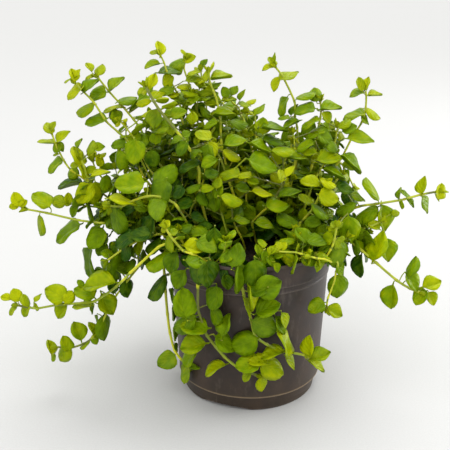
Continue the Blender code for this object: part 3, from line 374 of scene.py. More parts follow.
def makeLeaf(name, shape, materials):
    rows = leafRows[shape["rows"]]
    bands = len(rows) - 1
    cup, fold = shape["cup"], shape["fold"]
    leaf = primitive(bpy.ops.mesh.primitive_grid_add, name, size=1,
                     x_subdivisions=columns, y_subdivisions=bands)
    bpy.ops.object.mode_set(mode="EDIT")
    bpy.ops.mesh.select_mode(type="VERT")
    for index, (along, wide) in enumerate(rows):
        start = index / bands - 0.5
        selectWhere(lambda co: abs(co.y - start) < 0.01)
        bpy.ops.transform.resize(value=(wide, 1, 1), center_override=(0, start, 0))
        aside = shape["sway"] * math.sin(along * math.pi)
        bpy.ops.transform.translate(value=(aside, parked + along - start, -shape["droop"] * along * along))
    bpy.ops.mesh.select_all(action="SELECT")
    bpy.ops.transform.translate(value=(0, -parked, 0))
    for index, (along, wide) in list(enumerate(rows))[stalkRows:]:
        aside = shape["sway"] * math.sin(along * math.pi)
        for side in (-1, 1):
            edgeRise = cup * wide + shape["wave"] * math.sin(ripples * along + side)
            liftPoints(along, aside + side * wide / 2, blunt * (index == bands), edgeRise)
            liftPoints(along, aside + side * wide / 4, 0, cup * wide * innerCup + fold * innerFold)
        if index < bands:
            liftPoints(along, aside, 0, -fold * midribFold)
    bpy.ops.object.mode_set(mode="OBJECT")
    for material in materials:
        leaf.data.materials.append(material)
    modify(leaf, "skin", "SOLIDIFY", thickness=leafThickness, offset=-1,
           material_offset=1, material_offset_rim=1)
    applyAll(leaf)
    bpy.ops.object.shade_smooth()
    for each in ("age", "chance"):
        leaf.data.attributes.new(each, "FLOAT", "POINT")
    return leaf


def potRadius(z):  # of the outside, from the profile
    outside = potShape["outside"]
    for (low, a), (high, b) in zip(outside, outside[1:]):
        if a * mm <= z <= b * mm:
            return max(low, high) * mm
    return 0


pressing = dict(  # mm
    mouth=50, deepest=85,  # leaves that start within these grow out of the pot
    above=102, beside=55,  # and past these nothing touches it
    overRim=101.3,
    kept=0.15)  # share of the depth that a pressed leaf keeps, so it keeps a thickness


def keepClear(points, root):
    # a leaf that leans on the pot or the compost bends round it: what would go in is pressed out
    kept = pressing["kept"]
    overRim = pressing["overRim"] * mm
    inside = root.to_2d().length < pressing["mouth"] * mm and root.z > pressing["deepest"] * mm
    for point in points:
        co = point.co
        radius = co.to_2d().length
        if co.z > pressing["above"] * mm or radius > pressing["beside"] * mm:
            continue
        if radius < mouth and inside:
            floorZ = soilTop + overSoil
            if co.z < floorZ:
                co.z = floorZ - (floorZ - co.z) * kept
            continue
        out = potRadius(co.z) + offPot
        if co.z > rimFoot and inside:
            if co.z < overRim:
                co.z = overRim - (overRim - co.z) * kept
        elif 0 < radius < out:
            grown = (out - (out - radius) * kept) / radius
            co.x *= grown
            co.y *= grown


def layLeaf(template, place, reach, upper, width, age, chance):
    # a copy of the leaf: stalk at place, tip at place + reach, upper side toward upper
    axis = reach.normalized()
    normal = (upper - upper.project(axis)).normalized()
    side = axis.cross(normal)
    length = reach.length
    turnTo = Matrix((side * width * length, axis * length, normal * length)).transposed().to_4x4()
    copy = copyOf(template, Matrix.Translation(place) @ turnTo)
    keepClear(copy.data.vertices, place)
    for name, value in (("age", age), ("chance", chance)):
        copy.data.attributes[name].data.foreach_set("value", [value] * len(copy.data.vertices))
    return copy


# where the shoots run

# the photograph's camera, from the rim's ellipse and the pot's edges; focal is in pixels
imageWidth = 450
photoCentre = imageWidth / 2
focal = 805
eye = Vector((0, -481.4, 276.5)) * mm
tilt = math.radians(19.3)
turn = math.radians(-1.9)
look = Vector((math.sin(turn) * math.cos(tilt), math.cos(turn) * math.cos(tilt), -math.sin(tilt)))
right = Vector((math.cos(turn), -math.sin(turn), 0))
up = right.cross(look)

stemOverRim = 3 * mm  # how high a stem crosses the rim
stemFoot = soilTop - 2.5 * mm  # the stems start a little inside the compost
nearRim = 5 * mm  # a leaf that starts outside the rim, or this little inside it, hangs outside the pot

# which way a leaf's upper side faces: to the camera, across its view, or free where it can't be told
front = "front"
edge = "edge"
free = "free"

# Every shoot seen in the photograph: its root on the compost in mm, its stem's width in mm, and its nodes.
# A node is the pixels across and down, the depth behind the pot's axis in mm, and its leaves. A leaf is the
# pixels from the node to its tip, its length in mm, negative where the tip comes nearer, and its facing,
# which is front unless given.
shoots = {
    "top_left_shoot_1": dict(root=(-16, 14), stem=1.5, nodes=[
        (150, 185, 12), (127, 141, 14), (118, 132, 15), (106, 121, 16), (94, 102.6, 17), (81, 89.3, 18),
        (76, 84, 18.5)]),
    "top_left_shoot_2": dict(root=(-9, 22), stem=1.5, nodes=[
        (160, 165, 22), (140, 128, 24), (134, 120, 24), (123, 106.8, 25), (109, 91.4, 26), (98.4, 78, 27)]),
    "top_left_shoot_3": dict(root=(-22, 6), stem=1.1, nodes=[
        (150, 170, 4), (137, 143, 3),
        (127, 129, 2, (-9, 0, 7, free), (-3, 8, 6, free)),
        (121, 122, 0, (-7, -6, 6), (5, -7, 6), (-7, 4, 5), (6, 3, 6))]),
    "middle_shoot_1": dict(root=(-22, -6), stem=1.9, nodes=[
        (200, 195, -6),
        (199, 170, -4, (-14, 8, 12), (12, 6, 12)),
        (195, 158.5, -4, (-20, 12, 17), (5, -4, 6, free)),
        (185, 142, -5, (-14, -2, 10), (6, -10, 10)),
        (172.4, 126, -6, (-27, 1, 19), (17, -13, 15)),
        (159.5, 110, -8, (14, -12, 13, edge), (-22, 9, 15, edge)),
        (154, 101.6, -9, (-19, -1, 11), (9, -10, 11, free)),
        (148, 91, -10, (-10, 0, 7), (7, -19, 12), (-2, -10, 7, free)),
        (146, 87, -10, (-4, -6, 6), (4, -6, 6))]),
    "top_shoot_1": dict(root=(-12, 30), stem=1.4, nodes=[
        (190, 150, 28), (182, 120, 28), (180.5, 107, 29), (177, 93, 30), (171, 82, 31), (166.5, 70.7, 32),
        (164, 62.5, 32.5), (160.9, 56, 33)]),
    "top_shoot_2": dict(root=(0, 36), stem=1.4, nodes=[
        (203, 150, 34), (196, 105, 35), (188, 80.5, 36), (184, 68, 37), (186, 60, 38)]),
    "top_shoot_3": dict(root=(7, 31), stem=1.2, nodes=[
        (214, 140, 30),
        (205, 100, 31, (-13, -6, 11, free), (10, 3, 10, free)),
        (202, 82, 31, (-10, -4, 9), (9, 4, 9, free)),
        (201, 71.4, 32, (-13, 4, 10, edge), (5, -11, 8.5), (-7, -6, 6))]),
    "top_shoot_4": dict(root=(-3, 20), stem=1.5, nodes=[
        (226, 165, 17), (221, 140, 18),
        (220.5, 122, 18, (-6, 12, 14), (-18, 11, 14)),
        (219, 112, 19, (14, 2, 12), (-10.6, 0, 9)),
        (217.7, 104, 19.5, (-13, -2, 10), (8, 6, 9, free)),
        (214, 92, 20, (-14, -5, 10, edge), (8, 9, 9, free)),
        (210.5, 84, 20.5, (11.5, -3, 9, edge), (-17, -4, 12)),
        (209.5, 79, 21, (22, -7, 16, edge), (-14, -3, 11, free)),
        (209, 73, 21.5, (0, -13, 9, edge), (-4, -8, 6, free))]),
    "top_shoot_5": dict(root=(11, 37), stem=1.3, nodes=[
        (252, 150, 33),
        (246, 130, 33, (-14, 4, 12, free), (12, 2, 12, free)),
        (240.5, 113.7, 33, (-13, -2, 10), (10, 8, 10, free)),
        (238.4, 107.4, 33.5, (-10, 4, 9), (17, -10, 13, edge)),
        (233, 103, 34, (-9, -6, 11), (14, -12, 12)),
        (229, 97, 34.5, (-7, -10, 9), (5, -9, 9))]),
    "top_shoot_6": dict(root=(14, 27), stem=1.2, nodes=[
        (259, 150, 24),
        (256, 135, 24, (-16, -6, 13), (9, 8, 10, free)),
        (255.5, 123, 25, (16, -4, 13), (-9, 3, 8, free)),
        (254.6, 116, 25, (6, -15, 12, edge), (-7, -5, 7, free)),
        (249, 112, 26, (-8, -3, 7), (-4, 6, 7, free))]),
    "top_right_shoot_1": dict(root=(24, 22), stem=1.5, nodes=[
        (297.5, 150, 20), (297.4, 138, 20), (297.2, 127.5, 20), (295, 116, 20.5), (294.6, 101.8, 21),
        (283, 77, 22), (276.3, 68, 23)]),
    "top_right_shoot_2": dict(root=(19, 8), stem=1.2, nodes=[
        (294.6, 165, 8),
        (294.6, 148, 9, (14, -3, 12), (-16, 2, 13)),
        (294, 138, 9, (-8, -4, 7), (9, 1, 8)),
        (293, 134, 9, (-5, -6, 6), (4, -6, 6))]),
    "top_right_shoot_3": dict(root=(30, 27), stem=1.5, nodes=[
        (314, 160, 21),
        (316.3, 142, 22, (-11, 5, 11, free), (12, 5, 12, free)),
        (318.4, 127.7, 22.5, (-19, -2, 14), (13, 6, 11, free)),
        (320.5, 117, 23, (8, 8, 9), (-8, 5, 8, free)),
        (321.2, 111, 23, (-22.4, -4, 16), (21.6, -5, 15)),
        (320.5, 102, 23.5, (-5, -15, 11), (3, -5, 4, free))]),
    "top_right_shoot_4": dict(root=(31, 13), stem=1.3, nodes=[
        (312, 165, 9), (320, 156, 9.5),
        (326, 152.4, 10, (-12, 6, 11), (9, 9, 11)),
        (334, 145.6, 10.5, (-8, -2, 7, free), (5, 9, 8)),
        (337, 131, 11, (-11, 4, 9), (14, 6, 11)),
        (337.5, 128, 11, (8.5, -12, 10.5), (16, -4, 12), (-8, -6, 8))]),
    "top_right_shoot_5": dict(root=(36, 18), stem=1.5, nodes=[
        (330, 175, 14), (341.8, 157.5, 15), (351.6, 138.5, 16), (362, 121.8, 17), (365.6, 108, 17.5),
        (366.3, 95, 18), (365.6, 91, 18.5)]),
    "right_shoot_1": dict(root=(40, 2), stem=1.6, nodes=[
        (345, 214, -4), (359, 206.5, -6), (375.5, 204, -8), (401, 200, -9), (404, 199.3, -9),
        (421.4, 194.5, -10), (434.7, 192, -10)]),
    "right_shoot_2": dict(root=(38, -16), stem=1.7, nodes=[
        (346, 240, -20), (357.5, 247, -24), (376.5, 263, -26), (397, 280.5, -28), (410, 288.5, -28),
        (419, 292, -29)]),
    "right_shoot_3": dict(root=(33, -6), stem=1.5, nodes=[
        (336, 236, -12), (352, 232, -14), (372, 226, -15), (380, 222, -15)]),
    "left_shoot_1": dict(root=(-34, -24), stem=1.7, nodes=[
        (180, 238, -34), (170, 242.6, -34), (158.7, 247, -34), (130.6, 272.6, -33), (117, 286, -32),
        (95, 301, -31), (75.8, 303.5, -30), (56.8, 305, -29), (37, 308.4, -28), (30, 307.5, -28),
        (19, 305.6, -27)]),
    "left_shoot_2": dict(root=(-41, -8), stem=1.5, nodes=[
        (168, 238, -9), (150, 254, -12), (128, 280, -14), (112, 302, -16), (101, 324.6, -17),
        (90.5, 339.3, -18), (84, 343.5, -18), (70.9, 347.7, -19), (58, 347, -20)]),
    "left_shoot_3": dict(root=(-40, 1), stem=1.5, nodes=[
        (160, 228, -5), (125, 225, -8), (102, 223, -9), (77.5, 220, -10), (47, 213, -11), (28, 209.5, -12)]),
    "left_shoot_4": dict(root=(-37, 10), stem=1.1, nodes=[
        (150, 214, 4), (120, 211, 2), (92, 206.5, 2), (71.6, 204, 1)]),
    "left_shoot_5": dict(root=(-33, 17), stem=1.4, nodes=[
        (120, 205, 10), (98, 190, 10), (83, 178, 10), (71, 170, 10), (64.6, 161.8, 10.5), (58, 149, 11),
        (55.4, 142.8, 11), (52, 134, 12)]),
    "left_shoot_6": dict(root=(-30, 3), stem=1.7, nodes=[
        (118, 212, 0), (98, 199, 1), (90, 186.5, 1), (87, 178, 1.5), (84, 166.7, 2), (81.5, 160, 2.5)]),
    "left_shoot_7": dict(root=(-26, 11), stem=1.2, nodes=[
        (118, 195, 8),
        (104, 180, 8, (-8, -6, 8, free), (8, 4, 9, free)),
        (96, 170, 8, (9, -14, 11, edge), (-6, -3, 6, free)),
        (93, 162, 8, (-4, -14, 10), (11, -12, 11), (6, -7, 7))]),
    "left_shoot_8": dict(root=(-26, -16), stem=1.6, nodes=[
        (176, 205, -23),
        (160, 197, -24, (0, -23, 18), (-2, 21, -16)),
        (147, 196.3, -25, (-27, -10, 20), (13, 5, 12)),
        (133.7, 200.5, -26, (-12, -9, 10), (-3, 14, 10, free)),
        (122, 206, -27, (-8, 27, -19), (-10, -14, 12)),
        (110.5, 206, -28, (-8, -4, 7), (-5, 7, 6, free))]),
    "front_left_shoot_1": dict(root=(-19, -38), stem=1.5, nodes=[
        (208, 262, -47),
        (191, 253.5, -52, (21, 0, 16), (20, -13, 15)),
        (183, 250.4, -48, (13, -7, 12), (-10, 12, 11)),
        (174, 240.5, -49, (-15, 6, 12), (9, -5, 8, free)),
        (169.8, 235, -50, (7, -5, 6), (-5, -1, 5, free)),
        (166, 229, -50, (-5, -4, 6), (2, -9, 6), (-6, 4, 5))]),
    "middle_shoot_2": dict(root=(-4, -3), stem=1.3, nodes=[
        (244.9, 248, -6),
        (241.4, 237.7, -10, (9, -8, 10, free), (-12, 2, 11, free)),
        (235.8, 227, -11, (-10, 2, 9, free), (10, 4, 10, free)),
        (232.5, 217, -12, (17, 1, 11), (-10, -6, 9)),
        (231.6, 204, -12, (-12, -8, 9), (13, -7, 10), (1, 3, -7), (-1, -9, 7))]),
    "middle_shoot_3": dict(root=(5, 6), stem=1.5, nodes=[
        (252, 223, -2),
        (257, 217, -3, (-14, -10, 12), (15, 8, 13)),
        (267.5, 207, -5, (-15, 3, 12), (14, 4, 12)),
        (273.5, 199, -6, (-20, -9, 15, edge), (15, 6, 13)),
        (278.5, 192, -7, (24, 2, 16), (-11, 9, 10)),
        (283.7, 183.3, -8, (-13, -12, 12), (10, 5, 9)),
        (285, 176, -8, (13, -8, 11), (-7, -7, 8), (3, 8, 6))]),
    "middle_shoot_4": dict(root=(18, -12), stem=1.5, nodes=[
        (291, 233, -14),
        (300.5, 222.6, -15, (-15, -12, 14), (16, 12, 14)),
        (309.6, 212.8, -16, (24, 1, 16), (-12, 5, 11)),
        (313.5, 206.5, -16, (-15, -11, 12, edge), (14, 9, 12)),
        (319, 197, -17, (-17, -14, 14), (22, -2, 15)),
        (325.8, 184.7, -18, (-5, -9, 7), (6, -9, 7), (11, 0, 7.5))]),
    "front_right_shoot_1": dict(root=(33, -27), stem=1.4, nodes=[
        (322, 260, -40),
        (331, 249, -42, (-12, -3, 8), (9, 9, 10)),
        (334, 241, -42, (-12, -4, 9), (10, 4, 10)),
        (336.5, 228, -41, (-7, 2, 6), (4, -7, 7, edge), (-4, -6, 6))]),
    "front_right_shoot_2": dict(root=(20, -36), stem=1.2, nodes=[
        (320, 259.5, -49),
        (306, 255.5, -50, (-2, 10, 6), (4, -7, 6, free)),
        (296, 252.5, -50, (2, -9, 6, edge), (2, 9, 6, free), (1, 22, 13, edge)),
        (286, 252, -50, (3, 17, 11), (-1, -11, 7)),
        (279, 251.5, -50, (-2, -11, 8), (-7, 3, 6), (-1, 13, 9))]),
    "front_right_shoot_3": dict(root=(28, -35), stem=1.1, nodes=[
        (331, 262, -47), (324, 259, -51),
        (318, 258.5, -52, (0, 13, 8), (7, 5, 8), (4, -8, 6, free)),
        (311, 257, -52, (-6, 8, 7, free), (-5, -7, 7, free), (-8, 0, 6, free))]),
    "trailing_left_shoot": dict(root=(-43, -14), stem=2.0, nodes=[
        (165, 243, -16), (163.5, 262, -17), (164.5, 275, -17), (165.5, 291, -18), (167.5, 314, -19),
        (170, 333, -20), (175, 351, -24), (184, 362.6, -27), (188, 366, -28.5)]),
    "trailing_front_shoot_1": dict(root=(-24, -29), stem=1.8, nodes=[
        (190, 250, -46), (195, 268, -51), (197.9, 286, -51), (198, 308, -50), (202, 322, -49),
        (207, 335.3, -48), (224.7, 357, -50), (239, 368, -51.5), (256, 375, -51.5)]),
    "trailing_front_shoot_2": dict(root=(-8, -42), stem=1.8, nodes=[
        (240, 274, -57), (243, 290, -57), (246, 304, -56), (251, 319, -55), (255.2, 335.5, -54),
        (267, 344.6, -53), (280, 350, -52), (304, 355, -50)]),
    "trailing_front_shoot_3": dict(root=(10, -41), stem=1.6, nodes=[
        (262, 276, -54), (264, 290, -55), (266, 305, -54), (268, 317, -53)]),
    "trailing_right_shoot": dict(root=(36, -26), stem=1.3, nodes=[
        (337, 262, -38), (336, 272, -40), (333.5, 284, -40), (328, 298, -40), (326.6, 307, -40)]),
    "middle_shoot_5": dict(root=(-15, 3), stem=1.3, nodes=[
        (190.7, 215, -2),
        (195.5, 200.5, -2, (-10, -2, 8, free), (9, 0, 8, free)),
        (200, 189, -1, (-14, -6, 12), (14, 8, 14)),
        (205, 175, 0, (-14, -2, 13), (13, 2, 12)),
        (203.5, 163, 1, (-9, -10, 10), (10, -10, 11), (6, 6, 8))]),
    "middle_shoot_6": dict(root=(2, 12), stem=1.4, nodes=[
        (232, 190, 8),
        (225.8, 173, 8, (-14, 6, 12), (14, 3, 12)),
        (220.5, 159, 8, (21, -9, 16), (-13, 6, 12)),
        (214, 147, 8, (-12, 12, 13), (9, -3, 9)),
        (209.6, 139.5, 8, (-14, -3, 11), (2, -14, 10, edge), (8, 3, 8))]),
    "middle_shoot_7": dict(root=(-10, -14), stem=1.2, nodes=[
        (222, 215, -14),
        (217, 203, -15, (-13, -4, 13), (12, 3, 12)),
        (216, 192, -15, (-9, -4, 8), (9, 4, 9)),
        (217, 184, -15, (-6, -4, 6), (6, -4, 6), (1, -8, 6))]),
    "middle_shoot_8": dict(root=(8, 18), stem=1.2, nodes=[
        (247, 205, 10),
        (246, 192, 10, (-13, 2, 12), (12, 4, 12)),
        (245, 181, 10, (-12, -5, 11), (12, -1, 10)),
        (245, 174, 10, (-5, -4, 7), (7, 4, 8))]),
    "middle_shoot_9": dict(root=(17, 14), stem=1.4, nodes=[
        (280, 185, 10),
        (284, 163, 12, (-16, -3, 17), (10, 5, 12)),
        (289, 153, 12, (-14, -8, 13), (14, 2, 13)),
        (292, 144, 13, (-10, -6, 10), (11, -3, 10), (2, -10, 8, free))]),
    "right_shoot_4": dict(root=(34, 12), stem=1.3, nodes=[
        (325, 200, 4),
        (333, 185, 4, (-9, -8, 10), (12, 3, 12)),
        (340, 176, 4, (-8, -9, 10, free), (12, -4, 12), (6, 8, 9))]),
    "right_shoot_5": dict(root=(27, 4), stem=1.4, nodes=[
        (310, 192, 2),
        (318, 174, 2, (-14, -2, 13), (14, 4, 13)),
        (324, 164, 2, (-12, -8, 12), (14, -5, 13), (2, -11, 9, free))]),
    "inner_left_shoot_1": dict(root=(-24, 10), stem=1.4, nodes=[
        (165, 205, 8),
        (150, 178, 8, (-14, 2, 13), (12, -8, 13)),
        (141, 160, 7, (-17, 4, 14), (13, -6, 13)),
        (132, 148, 6, (-15, -4, 13), (11, -12, 13))]),
    "inner_left_shoot_2": dict(root=(-38, -12), stem=1.4, nodes=[
        (160, 234, -22),
        (140, 240, -24, (-12, 10, 14), (4, -14, 13)),
        (122, 250, -25, (-12, -8, 13), (6, 16, 14)),
        (108, 260, -26, (-8, 12, 12), (-2, -13, 12))]),
}

# The shoots behind, which the photograph hides: they stand out like the low ones at the sides.
# angle is degrees from +X, root, reach, rise and end are mm: the top of the arch and where the tip ends.
backShoots = {
    "back_shoot_1": dict(angle=44, root=45, reach=54, rise=50, end=22),
    "back_shoot_2": dict(angle=58, root=36, reach=78, rise=66, end=36),
    "back_shoot_3": dict(angle=74, root=40, reach=84, rise=52, end=14),
    "back_shoot_4": dict(angle=96, root=41, reach=76, rise=74, end=48),
    "back_shoot_5": dict(angle=118, root=38, reach=84, rise=54, end=18),
    "back_shoot_6": dict(angle=140, root=36, reach=74, rise=68, end=40),
    "back_shoot_7": dict(angle=150, root=43, reach=52, rise=62, end=40),
    "back_shoot_8": dict(angle=88, root=45, reach=26, rise=76, end=58),
    "back_shoot_9": dict(angle=108, root=31, reach=38, rise=98, end=76),
    "back_shoot_10": dict(angle=62, root=42, reach=44, rise=26, end=-40),
    "back_shoot_11": dict(angle=128, root=43, reach=46, rise=26, end=-44),
}
backStem = 1.4
backNodes = 4
